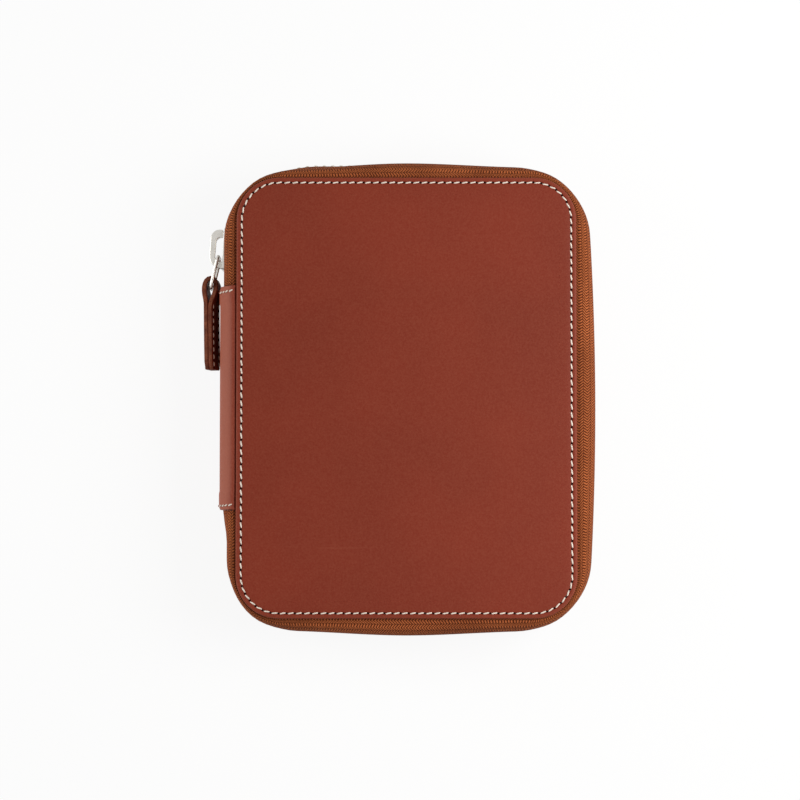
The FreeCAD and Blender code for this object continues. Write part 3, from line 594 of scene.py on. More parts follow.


# Zipper tape woven as herringbone twill: chevron ribs of matt yarn, dark between the ribs, with
# uneven dye. Beside the cover it is painted darker, as painted shade of the cover's edge. The ribs
# are drawn 1.1 mm apart, as coarse as the photograph shows them. The weave's own map is in millimetres.
RIB_PITCH = 1.1
RIB_SLOPE = 0.8
CHEVRON_HALF = 1.7
CHEVRON_GAP = 0.3
YARN_WANDER = 0.6
YARN_LUMP = 1.667
DYE_CLOUD = 16.67
# Painted shade: where the tape darkens, across it from under the cover.
SHADE_FROM = 2.4
SHADE_TO = 4.6


def herringbone(name, rib, gap):
    """Twill finish from the colours of its ribs and gaps."""
    material, tree = new_material(name)
    flat = add_node(tree, "ShaderNodeUVMap", uv_map="weave")
    axes = add_node(tree, "ShaderNodeSeparateXYZ", {0: flat}).outputs
    place = add_node(tree, "ShaderNodeTexCoord").outputs["Object"]
    uneven = add_node(tree, "ShaderNodeTexNoise", {"Vector": place, "Scale": cells(YARN_LUMP), "Detail": 3})
    dye = add_node(tree, "ShaderNodeTexNoise", {"Vector": place, "Scale": cells(DYE_CLOUD), "Detail": 3})
    fold = add_node(tree, "ShaderNodeMath", {0: axes["Y"], 1: CHEVRON_HALF}, operation="PINGPONG")
    along = add_node(tree, "ShaderNodeMath", {
        0: fold, 1: RIB_SLOPE, 2: axes["X"]}, operation="MULTIPLY_ADD")
    along = add_node(tree, "ShaderNodeMath", {
        0: uneven, 1: YARN_WANDER, 2: along}, operation="MULTIPLY_ADD")
    phase = add_node(tree, "ShaderNodeMath", {0: along, 1: 2 * math.pi / RIB_PITCH}, operation="MULTIPLY")
    wave = add_node(tree, "ShaderNodeMath", {0: phase}, operation="SINE")
    yarn = add_node(tree, "ShaderNodeMapRange", {"Value": wave, "From Min": -0.8, "From Max": 0.4})
    edge = add_node(tree, "ShaderNodeMath", {
        0: fold, 1: CHEVRON_HALF - CHEVRON_GAP}, operation="GREATER_THAN")
    yarn = add_node(tree, "ShaderNodeMath", {
        0: edge, 1: -0.45, 2: yarn}, operation="MULTIPLY_ADD", use_clamp=True)
    tone = add_node(tree, "ShaderNodeMix", {0: yarn, 6: srgb(gap), 7: srgb(rib)}, data_type="RGBA")
    cloudy = add_node(tree, "ShaderNodeMapRange", {
        "Value": dye, "From Min": 0.35, "From Max": 0.7, "To Max": 0.3})
    # Painted shade of the cover's edge: the tape darkens towards it.
    painted_seam_shade = add_node(tree, "ShaderNodeMapRange", {
        "Value": axes["Y"], "From Min": SHADE_FROM, "From Max": SHADE_TO, "To Min": 0.55, "To Max": 0.0})
    for share in (cloudy, painted_seam_shade):
        tone = add_node(tree, "ShaderNodeMix", {0: share, 6: tone, 7: srgb(gap)}, data_type="RGBA")
    bump = add_node(tree, "ShaderNodeBump", {"Height": yarn, "Strength": 0.8, "Distance": 0.35 * MM})
    shader = add_node(tree, "ShaderNodeBsdfPrincipled", {
        "Base Color": tone, "Roughness": 0.85, "Normal": bump, "Specular IOR Level": 0.1})
    add_node(tree, "ShaderNodeOutputMaterial", {"Surface": shader})
    return material


def running_length(points):
    """Distance along a line at each of its points."""
    lengths = [0.0]
    for a, b in zip(points, points[1:]):
        lengths.append(lengths[-1] + (b - a).length)
    return lengths


def lattice(name, rows, skip=lambda i, j: False, flip=False):
    """Open sheet through rows of points, with a map in millimetres along and across the rows."""
    count = len(rows[0])
    along = running_length(rows[len(rows) // 2])
    across = running_length([row[count // 4] for row in rows])
    faces = []
    for i in range(len(rows) - 1):
        for j in range(count - 1):
            if not skip(i, j):
                face = (i * count + j, i * count + j + 1, (i + 1) * count + j + 1, (i + 1) * count + j)
                faces.append(tuple(reversed(face)) if flip else face)
    obj = new_object(name, [p * MM for row in rows for p in row], faces, smooth_angle=60)
    weave = obj.data.uv_layers.new(name="weave")
    for loop in obj.data.loops:
        i, j = divmod(loop.vertex_index, count)
        weave.data[loop.index].uv = (along[j], across[i])
    return obj


def thicken(sheet, name, wall):
    """Gives an open sheet a wall, inwards from its outer face."""
    solid = sheet.modifiers.new(name, "SOLIDIFY")
    solid.thickness = wall * MM
    solid.offset = -1


def in_notch(i, j):
    """True for the faces that leave room for the resting slider."""
    return i >= UPRIGHT_ROW and j in NOTCH_COLUMNS


tape_weave = herringbone("herringbone_zipper_tape", "#bd683b", "#542410")
tape_rows = [(mix_lines(COVER_LINE, BULGE_LINE, share), inset, rise) for share, inset, rise in SHOULDER_ROWS]
tape_rows += [(mix_lines(BULGE_LINE, CHAIN_LINE, share), inset, rise) for share, inset, rise in EDGE_ROWS]
for side, up in SIDES:
    rows = [rim_points(line, inset, MIDDLE + up * rise) for line, inset, rise in tape_rows]
    tape = lattice(f"{side}_zipper_tape", rows, in_notch, flip=up < 0)
    thicken(tape, "tape_wall", TAPE_WALL)
    fit_piece(tape, tape_weave, side, f"{side}_tape")


# Zipper teeth: nickel-plated metal clips, stamped and crimped on the tape edge one by one, the two
# rows a half step apart so that they lock into each other. The end stops are plain clips.
TEETH = 147
TOOTH_PITCH = 3.4
TOOTH_WIDTH = 1.4
TOOTH_BEVEL = 0.22
# Section of a tooth, across the tape and towards its cover: a clip with two legs that grip the edge.
TOOTH_PROFILE = [
    (-1.1, -1.0), (1.1, -1.0), (1.1, 3.7), (0.45, 3.7),
    (0.45, 2.35), (-0.45, 2.35), (-0.45, 3.7), (-1.1, 3.7),
]
# The slider rests this far up the spine side, and the rows of teeth start from it.
SLIDER_ALONG = 61.161
RUBBED_PATCH = 2.63
SCRATCH_GRAIN = (3.33, 0.385, 3.33)


# Plated metal: bright nickel with faintly rubbed patches and fine scratches that blur its shine.
def worn_nickel(name, bright, dull, rough):
    """Nickel finish from its bright and dull tones and its middle roughness."""
    material, tree = new_material(name)
    place = add_node(tree, "ShaderNodeTexCoord").outputs["Object"]
    rubbed = add_node(tree, "ShaderNodeTexNoise", {
        "Vector": place, "Scale": cells(RUBBED_PATCH), "Detail": 4})
    fine = add_node(tree, "ShaderNodeMapping", {
        "Vector": place, "Scale": [cells(size) for size in SCRATCH_GRAIN]})
    fine = add_node(tree, "ShaderNodeTexNoise", {"Vector": fine, "Scale": 1.0, "Detail": 2})
    tone = add_node(tree, "ShaderNodeMix", {0: rubbed, 6: srgb(dull), 7: srgb(bright)}, data_type="RGBA")
    gloss = add_node(tree, "ShaderNodeMapRange", {
        "Value": fine, "From Min": 0.3, "From Max": 0.7, "To Min": rough - 0.08, "To Max": rough + 0.1})
    bump = add_node(tree, "ShaderNodeBump", {"Height": fine, "Strength": 0.12, "Distance": 0.05 * MM})
    shader = add_node(tree, "ShaderNodeBsdfPrincipled", {
        "Base Color": tone, "Metallic": 1.0, "Roughness": gloss, "Normal": bump})
    add_node(tree, "ShaderNodeOutputMaterial", {"Surface": shader})
    return material


def tooth_row_tree():
    """Teeth along a path, each turned with the path."""
    tree, given = new_tree(
        "tooth_row", "Teeth", Path=("Geometry", None), Pitch=("Float", TOOTH_PITCH * MM),
        Tooth=("Object", None), Up=("Vector", (0, 0, 1)), Metal=("Material", None))
    line, _, turn = follow_path(tree, given)
    tooth = add_node(tree, "GeometryNodeObjectInfo", {"Object": given["Tooth"]}).outputs["Geometry"]
    row = set_on_points(tree, line, tooth, turn, given["Metal"])
    add_node(tree, "NodeGroupOutput", {0: row})
    return tree


def bevelled_tooth(name):
    """One tooth, drawn out along X from its section and bevelled."""
    work = bmesh.new()
    half = TOOTH_WIDTH / 2
    ends = [[work.verts.new((x * MM, y * MM, z * MM)) for y, z in TOOTH_PROFILE] for x in (-half, half)]
    work.faces.new(reversed(ends[0]))
    work.faces.new(ends[1])
    for i in range(len(TOOTH_PROFILE)):
        k = (i + 1) % len(TOOTH_PROFILE)
        work.faces.new((ends[0][i], ends[0][k], ends[1][k], ends[1][i]))
    bmesh.ops.recalc_face_normals(work, faces=work.faces)
    bmesh.ops.bevel(
        work, geom=work.edges, offset=TOOTH_BEVEL * MM, segments=1, affect="EDGES", profile=0.5)
    mesh = bpy.data.meshes.new(name)
    work.to_mesh(mesh)
    work.free()
    mesh.shade_smooth()
    return link_mesh(name, mesh)


def stretch(points, start, length):
    """Part of a line from a distance along it, for a length."""
    part = []
    walked = 0.0
    for a, b in zip(points, points[1:]):
        step = (b - a).length
        for goal in (start, start + length):
            if walked <= goal < walked + step:
                part.append((goal, a.lerp(b, (goal - walked) / step)))
        walked += step
        if start < walked < start + length:
            part.append((walked, b))
    return [point for _, point in sorted(part, key=lambda item: item[0])]


nickel_teeth = worn_nickel("nickel_plated_brass", "#d9d3c6", "#a89f8e", 0.3)
tooth_row = tooth_row_tree()
chain_path = rim_points(CHAIN_LINE, TAPE_WALL / 2, MIDDLE)
for side, up in SIDES:
    tooth = bevelled_tooth(f"{side}_tooth")
    first = SLIDER_ALONG - TAPE_END + TOOTH_PITCH * (0.5 if up > 0 else 1.0)
    path = path_object([stretch(chain_path, first, (TEETH - 1) * TOOTH_PITCH)])
    values = {"Tooth": tooth, "Up": (0, 0, up), "Metal": nickel_teeth}
    row = plain_mesh(path, tooth_row, values, f"{side}_zipper_teeth")
    bpy.data.objects.remove(tooth)
    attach(row, side)
    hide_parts(f"{side}_teeth")
    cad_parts[f"{side}_end_stops"].material_slots[0].material = nickel_teeth


# Spine strip: one strip of the cover leather over the spine, tucked beside both cover edges and
# bent round the hollow of the spine. Its ends are folded under and held by a few cross stitches.
STRIP_END = 45.0
STRIP_WALL = 1.4
# Half of the strip's section, from beside the front cover to the middle: out from the case, height.
STRIP_SECTION = [
    (68.0, 36.25), (68.4, 36.3), (68.6, 36.85), (69.2, 37.1), (70.2, 36.8), (71.1, 35.9), (72.2, 34.4),
    (73.4, 32.3), (74.4, 30.6), (75.05, 28.9), (75.4, 27.0), (75.5, 24.5), (75.5, 21.8), (75.5, 19.12),
    (75.5, 19.0),
]
# The folded hem stands out a little. Its end is rounded, and tucked in at the middle of the spine:
# how far, and over what length from the end. The tuck fades towards the covers, from a height on.
HEM_LENGTH = 6.5
HEM_RISE = 0.25
END_ROUND = 0.35
END_ROUND_LENGTH = 1.4
END_TUCK = 0.9
END_TUCK_LENGTH = 3.2
TUCK_FADE = (MIDDLE + 5.5, 4)
# Stations along the strip, from its end to near its middle.
STRIP_STATIONS = (0, 0.4, 1.2, 2.2, 3.6, HEM_LENGTH, 7.6, 25)
# How far out the bulge begins to be painted paler, as painted sheen of the light on its outer band,
# and over what length. Then two points, out and from the middle, between which the real leather bends
# when the case opens; nothing here bends it, and only the first sets where the stitches' drift starts.
PAINTED_SHEEN_BAND = (69.6, 2.2)
BEND_POINTS = ((68.3, 17.1), (75.5, 8))
# Cross stitches: their places along the spine, their reach over the bulge, how far they lie off it
# (out, and towards the cover), how much each row drifts along the spine, and which way it faces.
CROSS_ROWS = (("upper", 42.9), ("lower", -43.1))
CROSS_FROM = 70
CROSS_TO = 75
CROSS_LIFT = (0.5, 0.05)
CROSS_DRIFT = 0.05
CROSS_FACING = (-0.55, 0.83)
# The strip's tones are lighter than the cover leather's: painted light of the lamps on the bulge.
strip_leather = waxed_leather("waxed_chestnut_strip_leather_painted_sheen", "#853826", "#7b3221", "#bb745d", edge_and_sheen_pale=0.36)


def fading(distance, length):
    """1 at an end, falling to 0 at a length from it."""
    return max(0.0, 1 - distance / length) ** 2


def strip_half(name, up):
    """Half of the strip, from one cover to the middle of the spine, as a bent sheet."""
    stations = [place - STRIP_END for place in STRIP_STATIONS]
    stations += [0.0] + [-y for y in reversed(stations)]
    rows = []
    for out, height in STRIP_SECTION:
        row = []
        for y in stations:
            from_end = STRIP_END - abs(y)
            hem = HEM_RISE if from_end <= HEM_LENGTH else 0.0
            edge = END_ROUND * fading(from_end, END_ROUND_LENGTH)
            tuck = END_TUCK * fading(from_end, END_TUCK_LENGTH) * (1 - eased(height, *TUCK_FADE))
            row.append(Vector((-(out + hem - edge - tuck), y, MIDDLE + up * (height - MIDDLE))))
        rows.append(row)
    half = lattice(name, rows, flip=up < 0)
    # Painted sheen: the outer band of the bulge is painted paler.
    ring_attribute(half, "edge_and_sheen", [eased(out, *PAINTED_SHEEN_BAND) for out, _ in STRIP_SECTION], len(stations))
    thicken(half, "leather_wall", STRIP_WALL)
    half.data.materials.append(strip_leather)
    return half


for side, up in SIDES:
    half = strip_half(f"spine_strip_{side}_half", up)
    bend_start, bend_end = [(-out * MM, 0, (MIDDLE + up * rise) * MM) for out, rise in BEND_POINTS]
    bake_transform(half)
    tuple(bend_start)
    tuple(bend_end)
    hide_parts("spine_strip")
    for end, y in CROSS_ROWS:
        path = []
        for out, height in STRIP_SECTION:
            if CROSS_FROM < out < CROSS_TO:
                drift = CROSS_DRIFT * (out - BEND_POINTS[0][0])
                rise = height - MIDDLE + CROSS_LIFT[1]
                path.append(Vector((-(out + CROSS_LIFT[0]), y - drift, MIDDLE + up * rise)))
        facing = (CROSS_FACING[0], 0, CROSS_FACING[1] * up)
        row = stitch_row(f"spine_{side}_{end}_stitching", [path], None, facing,
                         pitch=2.4 * MM, length=2 * MM, width=0.6 * MM, slant=0.3, hole=strip_leather)
        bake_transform(row)
        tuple(bend_start)
        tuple(bend_end)


# Boards and linings: a greyboard stiffener under each cover, and a suede lining glued over it. The
# lining's edge is skived thin and turned down on the sewn edge of the tape.
LINING_FACES = (("front", 35.6, -1), ("back", 2.4, 1))
# Outline of the lining: its left and right sides, half its height and its corner radius. Levels of
# its edge: inset, and rise from the board.
LINING_OUTLINE = (-65.9, 66.7, 86.9, 15.5)
LINING_LEVELS = [(0.3, 0.0), (0.0, 0.3), (0.05, 0.6), (0.6, 0.95), (2.2, 1.0), (9.0, 1.0), (30.0, 1.0)]
PULP_FIBRE = 2.0
NAP_LENGTH = 1.11
NAP_CLOUD = 22.2
NAP_TURN = 0.35
NAP_STRETCH = (1, 2.6, 1)


# Grey bookboard: pressed paper pulp with pale and dark fibres.
def grey_board(name, dark, light):
    """Pressed board finish."""
    material, tree = new_material(name)
    place = add_node(tree, "ShaderNodeTexCoord").outputs["Object"]
    pulp = add_node(tree, "ShaderNodeTexNoise", {
        "Vector": place, "Scale": cells(PULP_FIBRE), "Detail": 4, "Roughness": 0.7})
    tone = add_node(tree, "ShaderNodeMix", {0: pulp, 6: srgb(dark), 7: srgb(light)}, data_type="RGBA")
    bump = add_node(tree, "ShaderNodeBump", {"Height": pulp, "Strength": 0.2, "Distance": 0.1 * MM})
    shader = add_node(tree, "ShaderNodeBsdfPrincipled", {
        "Base Color": tone, "Roughness": 0.9, "Normal": bump})
    add_node(tree, "ShaderNodeOutputMaterial", {"Surface": shader})
    return material


# Suede: split leather with a short brushed nap, so it is matt, cloudy where the nap lies another way,
# and has a soft sheen. The nap is drawn 1 mm long so that it shows.
def brushed_suede(name, base, deep, pale):
    """Suede finish from its middle, deep and pale tones."""
    material, tree = new_material(name)
    place = add_node(tree, "ShaderNodeTexCoord").outputs["Object"]
    lay = add_node(tree, "ShaderNodeTexNoise", {
        "Vector": place, "Scale": cells(NAP_CLOUD), "Detail": 4, "Roughness": 0.6})
    brushed = add_node(tree, "ShaderNodeMapping", {
        "Vector": place, "Rotation": (0, 0, NAP_TURN), "Scale": NAP_STRETCH})
    nap = add_node(tree, "ShaderNodeTexNoise", {
        "Vector": brushed, "Scale": cells(NAP_LENGTH), "Detail": 3, "Roughness": 0.7})
    cloudy = add_node(tree, "ShaderNodeMapRange", {"Value": lay, "From Min": 0.35, "From Max": 0.65})
    tone = add_node(tree, "ShaderNodeMix", {0: cloudy, 6: srgb(deep), 7: srgb(base)}, data_type="RGBA")
    tips = add_node(tree, "ShaderNodeMapRange", {
        "Value": nap, "From Min": 0.4, "From Max": 0.75, "To Max": 0.5})
    tone = add_node(tree, "ShaderNodeMix", {0: tips, 6: tone, 7: srgb(pale)}, data_type="RGBA")
    bump = add_node(tree, "ShaderNodeBump", {"Height": nap, "Strength": 0.45, "Distance": 0.2 * MM})
    shader = add_node(tree, "ShaderNodeBsdfPrincipled", {
        "Base Color": tone, "Roughness": 0.92, "Normal": bump,
        "Sheen Weight": 0.2, "Sheen Roughness": 0.5, "Specular IOR Level": 0.15})
    add_node(tree, "ShaderNodeOutputMaterial", {"Surface": shader})
    return material


bookboard = grey_board("grey_bookboard", "#6f685f", "#9b948a")
tan_suede = brushed_suede("brushed_tan_suede", "#a9764f", "#956340", "#c79a72")
for side, face, up in LINING_FACES:
    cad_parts[f"{side}_board"].material_slots[0].material = bookboard
    lining = soft_panel(f"{side}_suede_lining", LINING_OUTLINE, face, up, LINING_LEVELS)
    fit_piece(lining, tan_suede, side, f"{side}_lining")


# Spine lining: a suede wall inside the spine. Its two long edges are rolled into hems that the
# covers hinge on.
HINGE_X = -67.0
HINGE_LOW = 2.7
HINGE_HIGH = 35.3
HEM_RADIUS = 0.8
HEM_STEPS = 12
SPINE_HALF_WALL = 0.6
SPINE_END = 45.0


def hemmed_section(y, shrink):
    """Section of the spine lining at a place along the spine, with its hems drawn in by a shrink."""
    meet = math.acos(SPINE_HALF_WALL / HEM_RADIUS)
    radius = HEM_RADIUS - shrink
    low_hem = (HINGE_LOW, math.pi - meet, 2 * math.pi + meet)
    high_hem = (HINGE_HIGH, -meet, math.pi + meet)
    section = []
    for height, start, stop in (low_hem, high_hem):
        for step in range(HEM_STEPS + 1):
            turn = start + (stop - start) * step / HEM_STEPS
            section.append(Vector((HINGE_X + radius * math.cos(turn), y, height + radius * math.sin(turn))))
    return section


def hem_stations(half):
    """Places along a hem from end to end, with the shrink that rounds its ends."""
    stations = [(-half, 0.2), (0.2 - half, 0.05), (0.6 - half, 0.0), (-20.0, 0.0), (0.0, 0.0)]
    return stations + [(-y, shrink) for y, shrink in reversed(stations[:-1])]


sections = [hemmed_section(y, shrink) for y, shrink in hem_stations(SPINE_END)]
spine_wall = skin_rings("spine_suede_lining", sections)
fit_piece(spine_wall, tan_suede, "spine", "spine_lining")


# Pen bands: one leather band on each lining, sewn down between the pens, so that it stands up in a
# row of arched loops.
LOOP_PITCH = 22.0
LOOP_CENTRES = [LOOP_PITCH * i for i in (-2, -1, 0, 1, 2)]
BAND_WALL = 1.2
BAND_HALF = 35.0
BAND_BASE = 3.4
BAND_BASES = (("front", CASE_DEPTH - BAND_BASE, -1), ("back", BAND_BASE, 1))
BAND_STATIONS = (-BAND_HALF, -34.7, -33.5, -18, 0, 18, 33.5, 34.7, BAND_HALF)
BAND_EDGE_DROP = 0.2
# Outer face of a loop's left foot, from the loop's middle and up from the lining. The arch above it
# is a quarter of a circle.
LOOP_FOOT = [(-LOOP_PITCH / 2, BAND_WALL), (-10.4, 1.25), (-9.95, 1.7), (-9.72, 2.6), (-9.7, 3.4)]
ARCH_CENTRE = (-0.6, 5.1)
ARCH_RADIUS = 9.1
ARCH_STEPS = 8
# Seams run between the loops and outside the last ones, a little short of the band's edges.
END_SEAM = 10.6
SEAM_HALF = 33.2
SEAM_LIFT = 0.12
SEAM_THREAD = 0.5
band_leather = waxed_leather("waxed_chestnut_band_leather", "#863727", "#7a3021", "#a8634b")


def band_line():
    """Outer face of a band across the case: feet on the lining and arched loops between them."""
    left = list(LOOP_FOOT)
    x, z = ARCH_CENTRE
    for step in range(ARCH_STEPS + 1):
        turn = math.pi - math.pi / 2 * step / ARCH_STEPS
        left.append((x + ARCH_RADIUS * math.cos(turn), z + ARCH_RADIUS * math.sin(turn)))
    both = left + [(-x, z) for x, z in reversed(left)]
    line = [(centre + x, z) for centre in LOOP_CENTRES for x, z in both[:-1]]
    return line + [(LOOP_CENTRES[-1] + LOOP_PITCH / 2, BAND_WALL)]


for side, base, up in BAND_BASES:
    rows = []
    for x, z in band_line():
        drops = [BAND_EDGE_DROP if abs(y) == BAND_HALF else 0.0 for y in BAND_STATIONS]
        rows.append([Vector((x, y, base + up * (z - drop))) for y, drop in zip(BAND_STATIONS, drops)])
    band = lattice(f"{side}_pen_loops", rows, flip=up < 0)
    thicken(band, "band_wall", BAND_WALL)
    fit_piece(band, band_leather, side, f"{side}_pen_band")
    seams = [LOOP_CENTRES[0] - END_SEAM] + [centre + LOOP_PITCH / 2 for centre in LOOP_CENTRES[:-1]]
    seams.append(LOOP_CENTRES[-1] + END_SEAM)
    height = base + up * (BAND_WALL + SEAM_LIFT)
    lines = [[Vector((x, y, height)) for y in (-SEAM_HALF, 0, SEAM_HALF)] for x in seams]
    row = stitch_row(f"{side}_loop_stitching", lines, side, (0, 0, up), width=SEAM_THREAD * MM)


# Divider page: a stiff core between two suede faces, sewn round the edge. Its leather tongue reaches
# to the spine and ends in a rolled hem.
PAGE_LEFT = -51.0
PAGE_OUTLINE = (PAGE_LEFT, 60.0, 78.0, 14.0)
CORE_HALF = 0.4
CORE_LEVELS = [(0.12, -CORE_HALF), (0.0, -0.2), (0.0, 0.2), (0.12, CORE_HALF)]
# The seam presses a shallow groove in each face.
FACE_WALL = 0.6
PAGE_SEAM = 3.0
PAGE_SEAM_SINK = 0.03
PAGE_THREAD = 0.45
FACE_LEVELS = [
    (0.1, 0.0), (0.0, 0.2), (0.2, 0.45), (0.8, FACE_WALL), (2.4, FACE_WALL), (PAGE_SEAM, FACE_WALL - 0.15),
    (3.6, FACE_WALL), (10.0, FACE_WALL), (30.0, FACE_WALL),
]
TONGUE_END = 42.0
TONGUE_REACH = (-58.0, PAGE_LEFT + 6)
PAGE_HEM_X = -65.1
PAGE_HEM_RADIUS = 1.0
PAGE_HEM_STEPS = 16
core = soft_panel("divider_core_panel", PAGE_OUTLINE, MIDDLE, 1, CORE_LEVELS)
fit_piece(core, band_leather, "divider", "divider_core")


def tongue_section(y, shrink):
    """Section of the tongue at a place along the spine: a rolled hem and a flat strip."""
    radius = PAGE_HEM_RADIUS - shrink
    half = CORE_HALF - shrink / 2
    meet = math.asin(half / radius)
    section = []
    for step in range(PAGE_HEM_STEPS + 1):
        turn = meet + (2 * math.pi - 2 * meet) * step / PAGE_HEM_STEPS
        section.append(Vector((PAGE_HEM_X + radius * math.cos(turn), y, MIDDLE + radius * math.sin(turn))))
    section += [Vector((x, y, MIDDLE - half)) for x in TONGUE_REACH]
    section += [Vector((x, y, MIDDLE + half)) for x in reversed(TONGUE_REACH)]
    return section


sections = [tongue_section(y, shrink) for y, shrink in hem_stations(TONGUE_END)]
tongue = skin_rings("divider_hinge_tongue", sections)
fit_piece(tongue, band_leather, "divider", "divider_core")
for side, up in SIDES:
    low = MIDDLE + up * CORE_HALF
    face = soft_panel(f"divider_{side}_suede", PAGE_OUTLINE, low, up, FACE_LEVELS)
    fit_piece(face, tan_suede, "divider", f"divider_{side}_face")
    path = rounded_ring(*PAGE_OUTLINE, PAGE_SEAM, low + up * (FACE_WALL - PAGE_SEAM_SINK))
    row = stitch_row(
        f"divider_{side}_stitching", [path], "divider", (0, 0, up), closed=True, width=PAGE_THREAD * MM)


# Slider: a die-cast nickel-plated body with two plates, and a hooked bridge that carries the pull.
# Their edges are tumbled smooth, so they catch a thin line of light. The link is bent from wire.
CREASE_ANGLE = math.radians(30)
FLAT_ANGLE = math.radians(1)
MERGE_GAP = 0.001
SLIDER_PIECES = (
    ("slider_body", "slider_plates", "slider", 0.22),
    ("slider_bridge", "slider_hook", "slider", 0.5),
    ("pull_ring", "pull_link", "ring", 0),
)
satin_nickel = worn_nickel("satin_nickel", "#dedbd5", "#bebab2", 0.3)


def smooth_copy(node, name, bevel):
    """Copy of a rigid part, shaded smooth, with its edges rounded if a bevel is given."""
    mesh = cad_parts[node].data.copy()
    mesh.name = name
    mesh.materials.clear()
    work = bmesh.new()
    work.from_mesh(mesh)
    bmesh.ops.remove_doubles(work, verts=work.verts, dist=MERGE_GAP * MM)
    bmesh.ops.dissolve_limit(work, angle_limit=FLAT_ANGLE, verts=work.verts, edges=work.edges)
    work.to_mesh(mesh)
    work.free()
    mesh.shade_smooth()
    mesh.set_sharp_from_angle(angle=CREASE_ANGLE)
    obj = link_mesh(name, mesh)
    if bevel:
        soft = obj.modifiers.new("tumbled_edges", "BEVEL")
        soft.width = bevel * MM
        soft.segments = 2
        soft.limit_method = "ANGLE"
        soft.angle_limit = CREASE_ANGLE
        soft.harden_normals = True
    return obj


for node, name, body, bevel in SLIDER_PIECES:
    fit_piece(smooth_copy(node, name, bevel), satin_nickel, body, node)


# Pull tab: a leather strip folded round the link, its two plies sewn together down both edges.
# The cut edges are left raw, fibrous and darker than the face, and the tab hangs a little twisted.
TAB_BAR = Vector((-79.4346, 45.2842, MIDDLE))
TAB_HALF = 5.0
TAB_PLY = 1.75
TAB_LOW = -33.2
# Middle line of one ply from its lower end to the top of the loop: out from the middle, up.
PLY_OUT = 0.9
PLY_LINE = [
    (PLY_OUT, TAB_LOW), (PLY_OUT, -30), (PLY_OUT, -25), (PLY_OUT, -20), (PLY_OUT, -15), (PLY_OUT, -10.5),
    (0.92, -8), (1.05, -6.2), (1.4, -4.6), (1.9, -2.9), (2.28, -1.2), (2.4, 0.4), (2.25, 1.8), (1.8, 3.0),
    (1.05, 3.75), (0, 4.0),
]
# The twist grows from the top of the loop downwards, and the lower end leans towards the strip.
TAB_TWIST = math.radians(15)
TWIST_FROM = 4.5
TWIST_LENGTH = 12
TAB_LEAN = 0.0004
# Columns of a ply across its width, with both cut edges a little rounded, and the narrowed end.
TAB_WIDTHS = (-TAB_HALF, -TAB_HALF + 0.25, -TAB_HALF + 1, 0, TAB_HALF - 1, TAB_HALF - 0.25, TAB_HALF)
EDGE_SOFT = 0.2
END_NARROW = 1.3
END_NARROW_LENGTH = 3.0
TAB_SEAM = 3.3
TAB_SEAM_LIFT = 0.05
TAB_SEAM_PLACES = (-7.5, -12, -16, -20, -24, -28, -31)
EDGE_FIBRE = 0.667
EDGE_CLOUD = 3.85


def tab_point(across, along, width):
    """Point of the tab: across its thickness, along its length and across its width."""
    twist = TAB_TWIST * min(1.0, max(0.0, (TWIST_FROM - along) / TWIST_LENGTH))
    lean = TAB_LEAN * min(0.0, along) ** 2
    out = across * math.cos(twist) - width * math.sin(twist)
    rise = across * math.sin(twist) + width * math.cos(twist)
    return TAB_BAR + Vector((out, 0, rise)) + Vector((lean, along, 0))


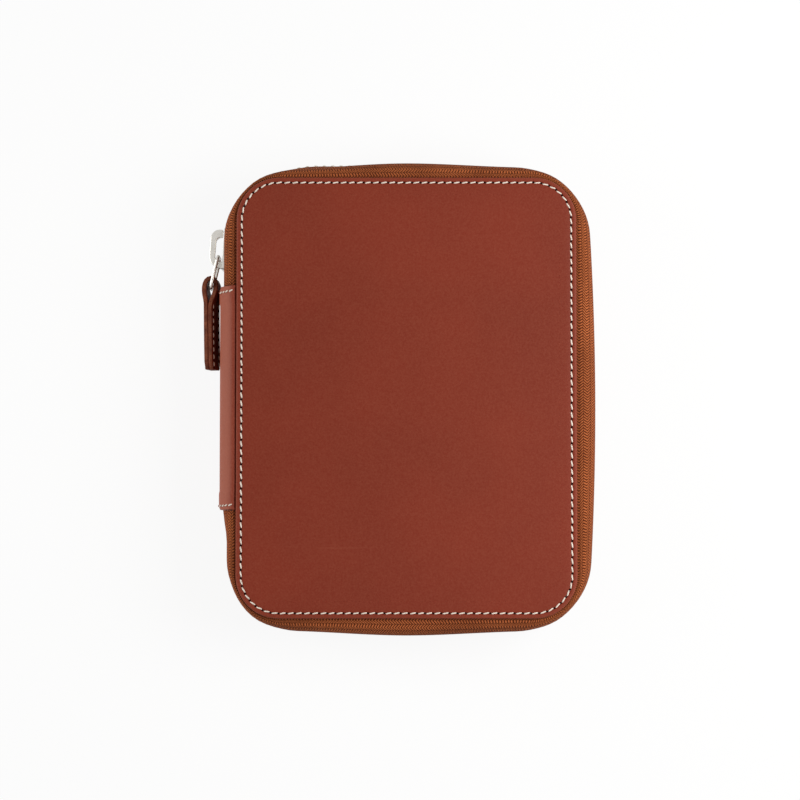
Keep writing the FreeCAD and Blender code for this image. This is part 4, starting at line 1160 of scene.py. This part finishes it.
# Raw cut leather: short matt fibres in two browns.
def raw_edge_leather(name, dark, light):
    """Finish of a cut edge."""
    material, tree = new_material(name)
    place = add_node(tree, "ShaderNodeTexCoord").outputs["Object"]
    fibre = add_node(tree, "ShaderNodeTexNoise", {
        "Vector": place, "Scale": cells(EDGE_FIBRE), "Detail": 4, "Roughness": 0.7})
    cloud = add_node(tree, "ShaderNodeTexNoise", {"Vector": place, "Scale": cells(EDGE_CLOUD), "Detail": 2})
    both = add_node(tree, "ShaderNodeMath", {0: fibre, 1: cloud}, operation="MULTIPLY")
    spread = add_node(tree, "ShaderNodeMapRange", {"Value": both, "From Min": 0.14, "From Max": 0.4})
    tone = add_node(tree, "ShaderNodeMix", {0: spread, 6: srgb(dark), 7: srgb(light)}, data_type="RGBA")
    bump = add_node(tree, "ShaderNodeBump", {"Height": fibre, "Strength": 0.6, "Distance": 0.25 * MM})
    shader = add_node(tree, "ShaderNodeBsdfPrincipled", {
        "Base Color": tone, "Roughness": 0.85, "Normal": bump, "Specular IOR Level": 0.25})
    add_node(tree, "ShaderNodeOutputMaterial", {"Surface": shader})
    return material


def tab_sections():
    """Sections of the folded strip from one lower end, round the loop, to the other."""
    line = [Vector((-x, y, 0)) for x, y in PLY_LINE] + [Vector((x, y, 0)) for x, y in reversed(PLY_LINE[:-1])]
    sections = []
    for i, spot in enumerate(line):
        ahead = (line[min(i + 1, len(line) - 1)] - line[max(i - 1, 0)]).normalized()
        out = Vector((-ahead.y, ahead.x, 0))
        half = TAB_HALF - END_NARROW * fading(abs(spot.y - TAB_LOW), END_NARROW_LENGTH)
        section = []
        for face, widths in ((1, TAB_WIDTHS), (-1, reversed(TAB_WIDTHS))):
            for width in widths:
                soft = EDGE_SOFT if abs(width) == TAB_HALF else 0.0
                side = spot + out * face * (TAB_PLY / 2 - soft)
                section.append(tab_point(side.x, side.y, width * half / TAB_HALF))
        sections.append(section)
    return sections


tab_leather = waxed_leather("waxed_chestnut_tab_leather", "#75301f", "#642819", "#8f4f3a")
tab_edge = raw_edge_leather("raw_cut_leather_edge", "#562719", "#955438")
tab = skin_rings("pull_tab_strip", tab_sections(), smooth_angle=50)
fit_piece(tab, tab_leather, "tab", "pull_tab")
tab.data.materials.append(tab_edge)
# Both cut edges and the two ends are raw.
per_ring = 2 * len(TAB_WIDTHS)
raw_columns = ({0, per_ring - 1}, {len(TAB_WIDTHS) - 1, len(TAB_WIDTHS)})
for face in tab.data.polygons:
    columns = {v % per_ring for v in face.vertices}
    face.material_index = 1 if columns in raw_columns or len(face.vertices) > 4 else 0
for side, face in (("outer", -1), ("inner", 1)):
    for edge, width in (("upper", TAB_SEAM), ("lower", -TAB_SEAM)):
        across = face * (PLY_OUT + TAB_PLY / 2 + TAB_SEAM_LIFT)
        path = [tab_point(across, along, width) for along in TAB_SEAM_PLACES]
        facing = (face * math.cos(TAB_TWIST), 0, face * math.sin(TAB_TWIST))
        row = stitch_row(f"tab_{side}_{edge}_stitching", [path], "tab", facing,
                         pitch=2.9 * MM, length=2.1 * MM, width=0.6 * MM, slant=0.12)
